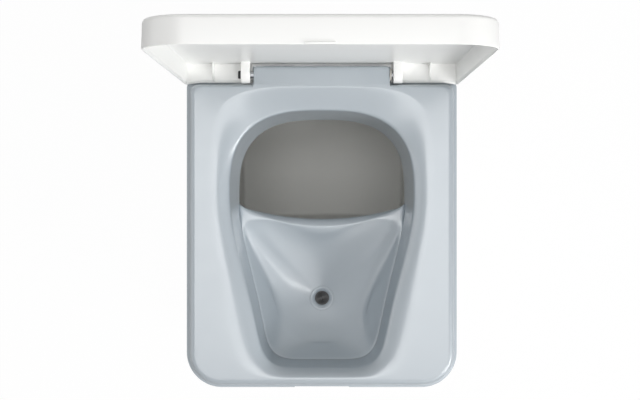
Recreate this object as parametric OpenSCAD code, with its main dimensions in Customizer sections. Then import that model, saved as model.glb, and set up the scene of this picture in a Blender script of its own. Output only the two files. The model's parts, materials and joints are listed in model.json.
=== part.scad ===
// Urine-diverting composting toilet: housing with a solids bin and a urine bottle, a seat with the
// bowl and diverter that hinges up at the rear, and a lid, drawn standing open.
// Millimetres. The origin is on the floor, under the middle of the housing: +X right, +Y rear, +Z up.

/* [Housing] */
// Width of the housing and the seat
body_w = 385; // [375:1:420]
// Depth of the housing and the seat, front to rear
body_d = 458; // [450:1:500]
// Height of the housing, up to the seat gasket
housing_h = 381; // [370:1:430]
// Radius of the two front corners
front_corner_r = 50; // [35:1:60]
// Radius of the two rear corners
rear_corner_r = 13; // [8:1:20]
// Wall of the housing shell
shell_wall = 3.5; // [2.5:0.5:5]
// Amount by which the front and side walls lean in from the top to the floor
wall_lean = 8; // [0:1:14]
// Width of the flange along the top of the shell
flange_w = 11; // [9:1:16]
// Thickness of the flange along the top of the shell
flange_t = 3.5; // [2.5:0.5:5]
// Width of the finger pocket under the front of the seat
pocket_w = 77; // [50:1:110]
// Height of the finger pocket
pocket_h = 20; // [14:1:30]
// Depth of the finger pocket
pocket_d = 15; // [10:1:22]

/* [Base] */
// Height of the base tray's step, on which the shell stands
base_step = 3; // [2:0.5:6]
// Thickness of the base tray's floor
base_floor_t = 5; // [4:0.5:8]
// Height of the base tray's rim inside the shell
base_rim_h = 28; // [20:1:45]
// Thickness of the base tray's rim
base_rim_t = 3; // [2:0.5:5]
// Spacing of the floor fixing holes across the base
fixing_dx = 320; // [300:1:330]
// Spacing of the floor fixing holes along the base
fixing_dy = 360; // [300:1:370]
// Radius of a floor fixing hole
fixing_r = 3.25; // [2:0.25:4]
// Radius of a rubber foot pad
pad_r = 13; // [8:1:18]
// Depth by which a foot pad is let into the base
pad_t = 2.5; // [1.5:0.5:3.5]
// Distance of a foot pad from the fixing hole beside it
pad_in = 34; // [20:1:60]
// Radius of the screws through the shell into the base
base_screw_r = 2; // [1.5:0.25:3]
// Length of the screws through the shell into the base
base_screw_l = 14; // [10:1:20]

/* [Solids bin] */
// Half width of the bin's floor, inside
bin_half_w = 138.4; // [120:0.2:142]
// Distance of the bin's rim from the fan behind it
bin_to_fan = 13.9; // [12:0.1:40]
// Distance of the bin's rim under the foot of the bowl's wall
bin_drop = 30; // [25:1:60]
// Wall of the bin
bin_wall = 2.5; // [2:0.5:4]
// Thickness of the bin's floor
bin_floor_t = 4; // [3:0.5:6]
// Widening of each side of the bin, from the floor to the rim
bin_lean = 6; // [2:0.5:6]
// Corner radius of the bin's floor
bin_corner_r = 25; // [15:1:35]
// Width of the bin's rim
bin_rim_w = 4; // [3:0.5:5]
// Thickness of the bin's rim
bin_rim_t = 3; // [2:0.5:5]

/* [Urine bottle] */
// Width of the bottle
bottle_w = 292; // [200:1:300]
// Distance of the bottle from the base tray's front rim
bottle_to_rim = 20.1; // [16:0.1:50]
// Depth by which the drain spout reaches into the bottle's neck
spout_in_neck = 5; // [3:0.5:8]
// Wall of the bottle
bottle_wall = 2.5; // [2:0.5:4]
// Inner radius of the bottle's neck
neck_r = 25; // [20:0.5:30]
// Height of the neck over the bottle's body
neck_h = 30; // [20:1:32]
// Height of the divider panel over the bottle's body
divider_over = 18; // [5:1:25]
// Length of the bottle's carrying handle
handle_l = 96; // [80:1:105]
// Width and height of the handle's bar
handle_bar = 12; // [9:1:14]
// Finger room under the handle
handle_gap = 18; // [15:1:20]

/* [Seat] */
// Height of the seat's skirt, from the gasket up to the ledge
skirt_h = 11.5; // [9:0.5:16]
// Width of the ledge around the seat
ledge_w = 4.5; // [3:0.5:7]
// Height of the seating surface over the ledge
riser_h = 20; // [14:1:26]
// Radius of the seating surface's outer edge
top_round = 8; // [4:1:10]
// Wall of the seat
seat_wall = 3; // [2.5:0.5:4]
// Distance from the seat's rear edge to the rear edge of the seating surface
rear_shelf_d = 28; // [26:1:32]
// Depth of the gasket between housing and seat
gasket_t = 2.5; // [1.5:0.5:4]
// Width of the gasket
gasket_w = 6; // [4:0.5:8]
// Depth of the shallow front grip in the skirt
grip_in = 1; // [0.5:0.25:1.5]

/* [Bowl] */
// Distance of the bowl's widest line behind the middle of the housing
bowl_y = 45; // [35:1:50]
// Half width of the bowl opening
bowl_half_w = 130.6; // [115:0.2:132]
// Width of the seating surface behind the dish
rear_land = 3.2; // [2:0.1:15]
// Width of the seating surface in front of the dish, with its ledge
front_land = 15; // [14:0.5:30]
// Share of its width that the bowl loses towards the front
bowl_taper = 0.27; // [0.15:0.01:0.35]
// Depth of the sloping dish around the opening
dish_depth = 10; // [5:1:12]
// Width of the dish beside the opening
dish_side = 17.4; // [12:0.2:20]
// Width of the dish behind the opening
dish_rear = 33.3; // [25:0.1:33.5]
// Width of the dish in front of the opening
dish_front = 14; // [8:0.5:15]
// Height of the bowl's wall under the dish
bowl_wall_h = 70; // [60:1:72]
// Amount by which the bowl's wall leans in, at the sides and the rear
bowl_lean = 9; // [5:0.5:12]

/* [Diverter] */
// Height of the diverter's lip over the foot of the bowl's wall
lip_up = 10; // [7:0.5:12]
// Distance of the lip's middle behind the middle of the housing
lip_y = 9.7; // [8:0.1:14]
// Radius of the lip, seen from above
lip_r = 404; // [350:1:500]
// Distance of the drain in front of the middle of the housing
drain_out = 110; // [100:1:115]
// Depth of the drain under the lip
basin_depth = 45; // [38:1:47]
// Radius of the drain
drain_r = 10.5; // [8:0.5:12]
// Wall of the diverter
diverter_t = 3; // [2.5:0.5:3.5]
// Wall of the drain spout
spout_wall = 2; // [1.5:0.5:3]
// Length of the drain spout
spout_l = 35; // [32:1:38]

/* [Lid] */
// Amount by which the lid is wider than the seat, on each side
lid_over = 2.5; // [1:0.5:4]
// Wall of the lid
lid_wall = 3; // [2.5:0.5:3.5]
// Height of the lid over its pins, when it is closed
lid_up = 20; // [19:1:26]
// Depth of the lid's rim under its pins, when it is closed
lid_down = 12.5; // [11:0.5:12.5]
// Radius of the lid's hinge pins
pin_r = 4.1; // [3:0.1:4.5]
// Height of the hinge pins under the seating surface
pin_drop = 7; // [6:0.5:9]
// Distance from the seat's rear edge to the hinge pins
pin_inset = 14; // [13:0.5:15]
// Half width of the hinge block on the seat
block_half_w = 96; // [80:1:110]
// Thickness of the hinge block's ends, that hold the pins
block_in = 18; // [14:1:24]
// Gap between the hinge block and the lid's lugs
lug_gap = 5; // [3:0.5:8]
// Thickness of the lid's lugs
lug_t = 13; // [10:1:16]
// Distance of the lid's gussets from the middle
gusset_x = 154; // [140:1:165]
// Thickness of the lid's gussets
gusset_t = 2.2; // [1.5:0.1:3]
// Width of the lid's finger lip
lid_lip_w = 33; // [20:1:60]
// Height of the lid's notch for the hinge block, over the pins
notch_up = 13; // [9:0.5:15]

/* [Vent and fan] */
// Distance of the vent's centre under the top of the housing
vent_drop = 91; // [80:1:140]
// Outer radius of the vent spigot
spigot_r = 25; // [20:1:27]
// Length of the vent spigot outside its flange
spigot_l = 36; // [25:1:60]
// Wall of the vent spigot
spigot_wall = 2.5; // [2:0.5:4]
// Width and height of the fan frame
fan_w = 60; // [60:1:64]
// Depth of the fan frame
fan_t = 15; // [14:1:16]
// Spacing of the fan's screws
fan_hole_d = 50; // [50:0.5:52]
// Number of fan blades
blades = 7; // [5:1:9]
// Distance of the power socket from the vent's centre
socket_x = 80; // [60:1:100]
// Radius of the power socket's body
socket_r = 5.5; // [4:0.25:7]

/* [Seat hinges] */
// Distance of each seat hinge from the middle
hinge_x = 62; // [50:1:75]
// Width of a seat hinge
hinge_w = 44; // [36:1:60]
// Radius of the hinge knuckles
knuckle_r = 4; // [3.5:0.25:4.5]
// Radius of the hinge pins of the seat
hinge_pin_r = 2; // [1.5:0.25:2.5]
// Thickness of the hinge leaves
leaf_t = 2; // [1.5:0.25:2.5]
// Height of the hinge leaf on the housing
leaf_h = 30; // [22:1:36]

/* [Hidden] */

white = [0.95, 0.95, 0.94];
pale_blue = [0.80, 0.84, 0.87];
warm_grey = [0.50, 0.49, 0.48];
black = [0.10, 0.10, 0.11];
steel = [0.70, 0.71, 0.73];

// Clearances: parts that rest together, a pin in its hole, a screw in its hole, parts that pass, and
// the step between two faces that would otherwise lie in one plane
rest_gap = 0.2;
run_gap = 0.06;
hole_gap = 0.2;
pass_gap = 0.5;
eps = 0.01;

half_w = body_w/2;
front_y = -body_d/2;
rear_y = body_d/2;

// Heights of the seat, from the gasket up
seat_z = housing_h + gasket_t;
ledge_z = seat_z + skirt_h;
top_z = ledge_z + riser_h;
edge_z = top_z - dish_depth;
wall_foot_z = edge_z - bowl_wall_h;
lip_z = wall_foot_z + lip_up;
drain_z = lip_z - basin_depth;
drain_y = -drain_out;
spout_foot_z = drain_z - diverter_t - spout_l;

// The vent and the fan hang from the top of the rear wall
vent_z = housing_h - vent_drop;
screen_t = 0.8;
wall_in_y = rear_y - shell_wall;
screen_y = wall_in_y - screen_t;
fan_y = screen_y - fan_t;

// The lid turns on its pins, and the seat on its own hinge line behind the rear wall
pin_y = rear_y - pin_inset;
pin_z = top_z - pin_drop;
shelf_y = rear_y - rear_shelf_d;
lid_clear = 0.8;
lid_sweep = norm([pin_inset, lid_down]) + lid_clear;
shelf_z = pin_z - lid_sweep;
hinge_y = rear_y + knuckle_r + pass_gap;
hinge_z = seat_z - pass_gap;

// Reach of the bowl opening to the rear and to the front, from its widest line
bowl_rear = shelf_y - rear_land - dish_rear - bowl_y;
bowl_front = bowl_y - front_y - front_land - dish_front;

// Holes through a wall are cut with rods of this length, half on each side of its outer face
bore_l = 40;

// Corners are drawn with this many steps, and the seat's straight sides with this many pieces
corner_n = 5;
side_n = 11;

function smooth(t) = let (c = min(1, max(0, t))) c*c*(3 - 2*c);
function arc(cx, cy, r, a0, a1, n) =
    [for (i = [0:n]) let (a = a0 + (a1 - a0)*i/n) [cx + r*cos(a), cy + r*sin(a)]];
function between(p, q, n) = n < 2 ? [] : [for (i = [1:n - 1]) p + (q - p)*i/n];
function at_z(outline, z) = [for (p = outline) [p[0], p[1], z]];
function blend(a, b, k) = a + (b - a)*k;

// Plan of a box with round corners, anticlockwise from the front right corner. Each straight side
// is cut into m pieces.
function plan(hw, front, rear, rf, rr, m = 1, n = corner_n) = concat(
    arc(hw - rf, front + rf, rf, -90, 0, n),
    between([hw, front + rf], [hw, rear - rr], m),
    arc(hw - rr, rear - rr, rr, 0, 90, n),
    between([hw - rr, rear], [rr - hw, rear], m),
    arc(rr - hw, rear - rr, rr, 90, 180, n),
    between([-hw, rear - rr], [-hw, front + rf], m),
    arc(rf - hw, front + rf, rf, 180, 270, n),
    between([rf - hw, front], [hw - rf, front], m));

// A closed skin through rings of equal length: capped at both ends, or joined round as a tube
module skin(rings, round = false) {
    n = len(rings[0]);
    last = round ? len(rings) - 1 : len(rings) - 2;
    walls = [for (k = [0:last], i = [0:n - 1])
        let (a = k*n, b = ((k + 1) % len(rings))*n, j = (i + 1) % n)
        each [[a + i, b + i, b + j], [a + i, b + j, a + j]]];
    caps = round ? [] : [[for (i = [0:n - 1]) i],
        [for (i = [0:n - 1]) len(rings)*n - 1 - i]];
    polyhedron(points = [for (ring = rings) each ring], faces = concat(walls, caps), convexity = 8);
}

// A straight cylinder from one point along +X or +Y
module rod_x(x, y, z, r, l) {
    translate([x, y, z]) rotate([0, 90, 0]) cylinder(r = r, h = l, $fn = 48);
}
module rod_y(x, y, z, r, l) {
    translate([x, y, z]) rotate([-90, 0, 0]) cylinder(r = r, h = l, $fn = 48);
}

// ---- Housing ----

// Plan of the housing at height z, drawn in by the given inset
function lean_at(z) = wall_lean*(1 - z/housing_h);
function housing_plan(z, inset) = let (e = inset + lean_at(z))
    plan(half_w - e, front_y + e, rear_y - inset, front_corner_r - e, max(2, rear_corner_r - inset));

pocket_foot_z = housing_h - pocket_h;

base_screw_z = base_step + base_rim_h*0.55;
base_screw_ys = [-120, 120];

module base_screw_rods(r) {
    for (y = base_screw_ys, s = [-1, 1]) {
        scale([s, 1, 1]) rod_x(half_w - bore_l/2, y, base_screw_z, r, bore_l);
    }
}

module pads(r, h) {
    for (x = [-1, 1], y = [-1, 1]) {
        translate([x*(fixing_dx/2 - pad_in), y*fixing_dy/2, 0]) cylinder(r = r, h = h, $fn = 48);
    }
}

module base_tray() {
    inner = shell_wall + rest_gap;
    color(warm_grey) difference() {
        union() {
            skin([at_z(housing_plan(0, 1), 0), at_z(housing_plan(base_step, 1), base_step)]);
            skin([at_z(housing_plan(0, inner + lean_at(0) - lean_at(base_floor_t)), base_step - eps),
                at_z(housing_plan(base_rim_h, inner + lean_at(0) - lean_at(base_rim_h)), base_rim_h)]);
        }
        skin([at_z(housing_plan(0, inner + base_rim_t), base_floor_t),
            at_z(housing_plan(base_rim_h, inner + base_rim_t), base_rim_h + 1)]);
        for (x = [-1, 1], y = [-1, 1]) {
            translate([x*fixing_dx/2, y*fixing_dy/2, -1])
                cylinder(r = fixing_r, h = base_floor_t + 2, $fn = 48);
        }
        translate([0, 0, -1]) pads(pad_r + hole_gap, pad_t + 1);
        base_screw_rods(base_screw_r);
    }
}

module foot_pads() {
    color(black) pads(pad_r, pad_t);
}

module base_screws() {
    x = half_w - lean_at(base_screw_z);
    color(steel) for (y = base_screw_ys, s = [-1, 1]) {
        scale([s, 1, 1]) {
            rod_x(x - base_screw_l, y, base_screw_z, base_screw_r, base_screw_l + rest_gap);
            rod_x(x + rest_gap, y, base_screw_z, base_screw_r*2, 2);
        }
    }
}

module housing_shell() {
    top = housing_h;
    color(white) difference() {
        union() {
            difference() {
                skin([at_z(housing_plan(base_step, 0), base_step + eps), at_z(housing_plan(top, 0), top)]);
                skin([at_z(housing_plan(base_step - 1, shell_wall), base_step - 1),
                    at_z(housing_plan(top - flange_t, shell_wall), top - flange_t)]);
                skin([at_z(housing_plan(top, flange_w), top - flange_t - 1),
                    at_z(housing_plan(top, flange_w), top + 1)]);
            }
            translate([-pocket_w/2 - 2.5, front_y + 1.5, pocket_foot_z - 2.5])
                cube([pocket_w + 5, pocket_d + 1, pocket_h + 2.5]);
        }
        translate([-pocket_w/2, front_y - 5, pocket_foot_z]) cube([pocket_w, pocket_d + 5, pocket_h + 1]);
        base_screw_rods(base_screw_r + hole_gap);
        rod_y(0, rear_y - bore_l/2, vent_z, spigot_r + 1, bore_l);
        for (x = [-1, 1], z = [-1, 1]) {
            rod_y(x*fan_hole_d/2, rear_y - bore_l/2, vent_z + z*fan_hole_d/2, fan_screw_r + hole_gap,
                bore_l);
        }
        rod_y(socket_x, rear_y - bore_l/2, vent_z, socket_r + hole_gap, bore_l);
        lower_hinge_screws(leaf_screw_r);
    }
}

divider_t = 2.5;
bin_front_y = 9.3;
divider_y = bin_front_y - bin_lean - bin_wall - bin_rim_w - divider_t - 2;
neck_top_z = spout_foot_z + spout_in_neck;
bottle_top_z = neck_top_z - neck_h;

module divider_panel() {
    hw = half_w - lean_at(0) - shell_wall - base_rim_t - 2;
    color(white) translate([-hw, divider_y, base_floor_t + rest_gap])
        cube([2*hw, divider_t, bottle_top_z + divider_over - base_floor_t - rest_gap]);
}

// ---- Solids bin ----

bin_foot_z = base_floor_t + rest_gap;
bin_top_z = wall_foot_z - bin_drop;
bin_rear_y = fan_y - bin_to_fan - bin_rim_w - bin_wall - bin_lean;

function bin_plan(grow) = plan(bin_half_w + grow, bin_front_y - grow, bin_rear_y + grow,
    bin_corner_r + grow, bin_corner_r + grow);

module solids_bin() {
    color(warm_grey) difference() {
        union() {
            skin([at_z(bin_plan(bin_wall), bin_foot_z), at_z(bin_plan(bin_wall + bin_lean), bin_top_z)]);
            translate([0, 0, bin_top_z - bin_rim_t]) linear_extrude(bin_rim_t)
                polygon(bin_plan(bin_wall + bin_lean + bin_rim_w));
        }
        skin([at_z(bin_plan(0), bin_foot_z + bin_floor_t), at_z(bin_plan(bin_lean), bin_top_z),
            at_z(bin_plan(bin_lean), bin_top_z + 1)]);
    }
}

// ---- Urine bottle ----

bottle_rear_y = divider_y - 2.5;
bottle_front_y = front_y + lean_at(0) + shell_wall + rest_gap + base_rim_t + bottle_to_rim;
bottle_foot_z = base_floor_t + rest_gap;
neck_wall = 3;
bottle_corner_r = 40;
shoulder = 14;
handle_x = -84;

function bottle_plan(e) = plan(bottle_w/2 - e, bottle_front_y + e, bottle_rear_y - e,
    bottle_corner_r - e, 20 - e);

module urine_bottle() {
    w = bottle_wall;
    color([0.93, 0.93, 0.90]) difference() {
        union() {
            skin([at_z(bottle_plan(5), bottle_foot_z), at_z(bottle_plan(0), bottle_foot_z + 6),
                at_z(bottle_plan(0), bottle_top_z - shoulder), at_z(bottle_plan(4), bottle_top_z - 4),
                at_z(bottle_plan(shoulder), bottle_top_z)]);
            translate([0, drain_y, bottle_top_z - 3])
                cylinder(r = neck_r + neck_wall, h = neck_h + 3, $fn = 64);
            translate([handle_x - handle_l/2, drain_y - handle_bar, bottle_top_z - 1])
                cube([handle_l, 2*handle_bar, handle_gap + handle_bar + 1]);
        }
        skin([at_z(bottle_plan(5 + w), bottle_foot_z + w), at_z(bottle_plan(w), bottle_foot_z + 6 + w/2),
            at_z(bottle_plan(w), bottle_top_z - shoulder), at_z(bottle_plan(4 + w), bottle_top_z - 4 - w),
            at_z(bottle_plan(shoulder + w), bottle_top_z - w)]);
        translate([0, drain_y, bottle_top_z - 10]) cylinder(r = neck_r, h = neck_h + 20, $fn = 64);
        translate([handle_x - handle_l/2 + handle_bar, drain_y - 2*handle_bar, bottle_top_z])
            cube([handle_l - 2*handle_bar, 4*handle_bar, handle_gap]);
    }
}

// Soft ring in the neck, that keeps splashes in round the spout
module bottle_neck_ring() {
    color(black) translate([0, drain_y, neck_top_z - 8]) rotate_extrude($fn = 64) polygon([
        [neck_r - 4, 0], [neck_r - 0.1, 0], [neck_r - 0.1, 8 + rest_gap],
        [neck_r + neck_wall, 8 + rest_gap], [neck_r + neck_wall, 10], [neck_r - 4, 10]]);
}

// ---- Gasket between housing and seat ----

module seat_gasket() {
    inset = shell_wall/2;
    color(black) translate([0, 0, housing_h]) difference() {
        linear_extrude(gasket_t - rest_gap) difference() {
            polygon(housing_plan(housing_h, inset));
            polygon(housing_plan(housing_h, inset + gasket_w));
        }
        translate([-pocket_w/2 - 1, front_y - 1, -1]) cube([pocket_w + 2, pocket_d, gasket_t + 2]);
    }
}

// ---- Vent and fan, on the rear wall ----

fan_screw_r = 1.9;
vent_gasket_t = 1.5;
flange_plate_t = 3;
duct_r = fan_w/2 - 1.8;
hub_r = 13;
shaft_r = 1.5;
plate_w = 66;

module fan_screw_holes(r, y, l) {
    for (x = [-1, 1], z = [-1, 1]) {
        rod_y(x*fan_hole_d/2, y, vent_z + z*fan_hole_d/2, r, l);
    }
}

// Flat mesh with square gaps
module insect_screen() {
    pitch = 6;
    bar = 1;
    n = floor(spigot_r*2/pitch/2);
    color(steel) difference() {
        translate([-fan_w/2, screen_y, vent_z - fan_w/2]) cube([fan_w, screen_t, fan_w]);
        for (i = [-n:n], j = [-n:n]) {
            if (norm([i, j])*pitch < spigot_r - pitch/2) {
                translate([i*pitch - (pitch - bar)/2, screen_y - 1, vent_z + j*pitch - (pitch - bar)/2])
                    cube([pitch - bar, screen_t + 2, pitch - bar]);
            }
        }
        fan_screw_holes(fan_screw_r + hole_gap, screen_y - 1, screen_t + 2);
    }
}

module fan_frame() {
    strut = 3;
    mount_t = 3;
    color(black) difference() {
        union() {
            difference() {
                translate([-fan_w/2, fan_y, vent_z - fan_w/2]) cube([fan_w, fan_t, fan_w]);
                rod_y(0, fan_y - 1, vent_z, duct_r, fan_t + 2);
            }
            rod_y(0, fan_y, vent_z, hub_r, mount_t);
            for (a = [45, 135]) {
                translate([0, fan_y, vent_z]) rotate([0, a, 0])
                    translate([-duct_r - 1, 0, -strut/2]) cube([2*duct_r + 2, mount_t, strut]);
            }
            rod_y(0, fan_y + mount_t, vent_z, shaft_r, 7);
        }
        fan_screw_holes(fan_screw_r + hole_gap, fan_y - 1, fan_t + 2);
    }
}

module fan_rotor() {
    y0 = fan_y + 4;
    depth = fan_t - 5.5;
    tip_r = duct_r - 1;
    color([0.16, 0.16, 0.17]) difference() {
        union() {
            rod_y(0, y0, vent_z, hub_r, depth);
            intersection() {
                difference() {
                    rod_y(0, y0 + 0.3, vent_z, tip_r, depth - 0.6);
                    rod_y(0, y0, vent_z, hub_r - 1, depth);
                }
                union() for (i = [0:blades - 1]) {
                    translate([0, y0 + depth/2, vent_z]) rotate([0, i*360/blades, 0])
                        rotate([38, 0, 0]) translate([0, -depth, -0.6])
                        cube([tip_r + 1, 2*depth, 1.2]);
                }
            }
        }
        rod_y(0, y0 - 1, vent_z, shaft_r + run_gap, 8.5);
    }
}

module vent_gasket() {
    color(black) difference() {
        translate([-plate_w/2, rear_y, vent_z - plate_w/2]) cube([plate_w, vent_gasket_t, plate_w]);
        rod_y(0, rear_y - 1, vent_z, spigot_r - spigot_wall, 10);
        fan_screw_holes(fan_screw_r + hole_gap, rear_y - 1, 10);
    }
}

module vent_spigot() {
    y0 = rear_y + vent_gasket_t;
    color(white) difference() {
        union() {
            translate([-plate_w/2, y0, vent_z - plate_w/2]) cube([plate_w, flange_plate_t, plate_w]);
            rod_y(0, y0, vent_z, spigot_r, flange_plate_t + spigot_l);
        }
        rod_y(0, y0 - 1, vent_z, spigot_r - spigot_wall, spigot_l + 10);
        fan_screw_holes(fan_screw_r + hole_gap, y0 - 1, 10);
    }
}

// Long screws through the spigot's flange, the wall and the fan
module vent_screws() {
    y1 = rear_y + vent_gasket_t + flange_plate_t;
    color(steel) for (x = [-1, 1], z = [-1, 1]) {
        translate([x*fan_hole_d/2, 0, vent_z + z*fan_hole_d/2]) {
            rod_y(0, fan_y - 2, 0, fan_screw_r, y1 - fan_y + 2.2);
            rod_y(0, y1, 0, fan_screw_r*1.8, 2);
        }
    }
}

module dc_socket() {
    color(black) difference() {
        union() {
            rod_y(socket_x, wall_in_y - 14, vent_z, socket_r, 14 + shell_wall + 1);
            rod_y(socket_x, rear_y, vent_z, socket_r + 2.5, 2);
        }
        difference() {
            rod_y(socket_x, rear_y - 8, vent_z, 2.8, 20);
            rod_y(socket_x, rear_y - 9, vent_z, 1.05, 9);
        }
    }
}

module dc_socket_nut() {
    color(steel) difference() {
        translate([socket_x, wall_in_y - 3, vent_z]) rotate([-90, 0, 0])
            cylinder(r = socket_r + 3, h = 3, $fn = 6);
        rod_y(socket_x, wall_in_y - 5, vent_z, socket_r + run_gap, 10);
    }
}

// The fan's lead, from its frame along the wall to the socket
module fan_lead() {
    r = 1.6;
    y = wall_in_y - 9;
    x0 = fan_w/2;
    color(black) rod_x(x0, y, vent_z, r, socket_x - socket_r - x0);
}

// ---- Seat hinges, on the rear face ----

leaf_screw_r = 1.75;
knuckle_l = hinge_w/3;
knuckle_gap = 0.4;

module leaf_screw_places(z) {
    for (s = [-1, 1], d = [-1, 1]) {
        translate([s*hinge_x + d*hinge_w/4, 0, z]) children();
    }
}
module lower_hinge_screws(r) {
    leaf_screw_places(hinge_z - leaf_h + 8) rod_y(0, rear_y - 12, 0, r, 20);
}

module knuckle(x, l) {
    rod_x(x, hinge_y, hinge_z, knuckle_r, l);
}

module seat_hinge_leaves() {
    foot = hinge_z - leaf_h;
    color(steel) for (s = [-1, 1]) {
        x0 = s*hinge_x - hinge_w/2;
        difference() {
            union() {
                translate([x0, rear_y, foot]) cube([hinge_w, leaf_t, leaf_h - knuckle_r - 1]);
                for (i = [0, 2]) {
                    x = x0 + i*knuckle_l + (i > 0 ? knuckle_gap : 0);
                    translate([x, rear_y, hinge_z - knuckle_r - 2])
                        cube([knuckle_l - knuckle_gap, leaf_t, knuckle_r + 2]);
                    translate([x, rear_y, hinge_z - knuckle_r])
                        cube([knuckle_l - knuckle_gap, hinge_y - rear_y, knuckle_r]);
                    knuckle(x, knuckle_l - knuckle_gap);
                }
            }
            rod_x(x0 - 1, hinge_y, hinge_z, hinge_pin_r + run_gap, hinge_w + 2);
            for (d = [-1, 1]) {
                rod_y(s*hinge_x + d*hinge_w/4, rear_y - 1, foot + 8, leaf_screw_r + hole_gap, 10);
            }
        }
    }
}

module seat_hinge_pins() {
    color(steel) for (s = [-1, 1]) {
        rod_x(s*hinge_x - hinge_w/2 - 1, hinge_y, hinge_z, hinge_pin_r, hinge_w + 2);
    }
}

module seat_hinge_screws() {
    color(steel) leaf_screw_places(hinge_z - leaf_h + 8) {
        rod_y(0, rear_y - 8, 0, leaf_screw_r, 8 + leaf_t + 0.2);
        rod_y(0, rear_y + leaf_t, 0, leaf_screw_r*1.9, 1.6);
    }
}

// ---- Seat ----

// Outline of the bowl at polar angle t about its widest line, grown by side, rear and front. It is
// a squarish oval that narrows towards the front.
rear_power = 2.8;
front_power = 6;
taper_reach = 0.85;
front_lean = 4;
crest_power = 4.3;
crest_taper = 0.1;
crest_reach = 0.6;
edge_round = 3;

function oval(t, side, rear, front, power, taper, reach) =
    let (s = sin(t), n = s > 0 ? power : front_power,
        across = bowl_half_w + side,
        along = s > 0 ? bowl_rear + rear : bowl_front + front,
        r = pow(pow(abs(cos(t))/across, n) + pow(abs(s)/along, n), -1/n),
        keep = s > 0 ? 1 : 1 - taper*smooth(-r*s/along/reach))
    [r*cos(t)*keep, bowl_y + r*s];
function bowl_at(t, e) = oval(t, e, e, e, rear_power, bowl_taper, taper_reach);
function foot_at(t, e) = oval(t, e - bowl_lean, e - bowl_lean, e - front_lean, rear_power, bowl_taper,
    taper_reach);
function crest_at(t) = oval(t, dish_side, dish_rear, dish_front, crest_power, crest_taper,
    crest_reach);

// Plan of the seat up to the rear shelf, drawn in by e, and by er at the rear
platform_r = 12;
function seat_plan(e, er) = plan(half_w - e, front_y + e, shelf_y - er, front_corner_r - e,
    e < 1 ? 2 : platform_r, side_n);
seat_angles = [for (p = seat_plan(0, 0)) atan2(p[1] - bowl_y, p[0])];

// Height of the dish at share k of the way from its crest to the opening
function dish_z(k) = top_z - dish_depth*pow(k, 1.5);

module seat_deck() {
    w = seat_wall;
    crest = [for (t = seat_angles) crest_at(t)];
    lip = [for (t = seat_angles) bowl_at(t, edge_round)];
    outer = [
        at_z(seat_plan(0, 0), seat_z),
        at_z(seat_plan(0, 0.1), ledge_z),
        at_z(seat_plan(ledge_w, 0.2), ledge_z),
        at_z(seat_plan(ledge_w + 1, 0.3), top_z - top_round),
        at_z(seat_plan(ledge_w + 1 + top_round*0.3, 0.4), top_z - top_round*0.3),
        at_z(seat_plan(ledge_w + 1 + top_round, 0.5), top_z)];
    dish = [
        at_z(crest, top_z),
        at_z(blend(crest, lip, 0.5), dish_z(0.5)),
        at_z(lip, edge_z + 1)];
    bowl = [
        at_z([for (t = seat_angles) bowl_at(t, 0)], edge_z - edge_round),
        at_z([for (t = seat_angles) foot_at(t, 0)], wall_foot_z),
        at_z([for (t = seat_angles) foot_at(t, w)], wall_foot_z),
        at_z([for (t = seat_angles) bowl_at(t, w)], edge_z - edge_round - 1)];
    under = [
        at_z(blend(lip, crest, 0.7), top_z - w - 1),
        at_z(seat_plan(ledge_w + top_round + 1, w + 2), top_z - w),
        at_z(seat_plan(ledge_w + w + 1, w + 0.5), top_z - top_round - 1),
        at_z(seat_plan(ledge_w + w, w + 0.3), ledge_z - w),
        at_z(seat_plan(w, w), ledge_z - w),
        at_z(seat_plan(w, w), seat_z)];
    color(pale_blue) difference() {
        union() {
            skin(concat(outer, dish, bowl, under), round = true);
            translate([0, 0, seat_z]) linear_extrude(shelf_z - seat_z)
                polygon(plan(half_w, shelf_y - w, rear_y, 1, rear_corner_r));
            for (s = [-1, 1]) {
                x0 = s*hinge_x - hinge_w/2 + knuckle_l + knuckle_gap;
                knuckle(x0, knuckle_l - 2*knuckle_gap);
                translate([x0, rear_y - 1, seat_z]) cube([knuckle_l - 2*knuckle_gap,
                    hinge_y - rear_y + 1, shelf_z - seat_z - 1]);
            }
        }
        for (s = [-1, 1]) {
            rod_x(s*hinge_x - hinge_w/2, hinge_y, hinge_z, hinge_pin_r + run_gap, hinge_w);
        }
        translate([-pocket_w/2, front_y - 1, seat_z - 1]) cube([pocket_w, 1 + grip_in, skirt_h + 2]);
    }
}

// Hollow block on the seat's rear shelf, that holds the lid's pins
block_rear_y = rear_y - 2;
block_cut = 2.5;
module hinge_block() {
    w = seat_wall;
    color(pale_blue) difference() {
        translate([0, 0, shelf_z]) linear_extrude(top_z - shelf_z) polygon([
            [-block_half_w, shelf_y], [block_half_w, shelf_y], [block_half_w, block_rear_y - block_cut],
            [block_half_w - block_cut, block_rear_y], [block_cut - block_half_w, block_rear_y],
            [-block_half_w, block_rear_y - block_cut]]);
        translate([block_in - block_half_w, shelf_y + w, shelf_z - 1])
            cube([2*(block_half_w - block_in), block_rear_y - shelf_y - 2*w, top_z - shelf_z + 1 - w]);
        for (s = [-1, 1]) {
            rod_x(s*(block_half_w - block_in/2) - block_in, pin_y, pin_z, pin_r + run_gap, 2*block_in);
        }
    }
}

// ---- Diverter ----

// The lip's curve meets the bowl's wall where the two outlines are equally far to the rear
lip_cy = lip_y + lip_r;
function lip_curve(x) = lip_cy - sqrt(lip_r*lip_r - x*x);
lip_turn = -7.6;
diverter_gap = 0.3;

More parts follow.
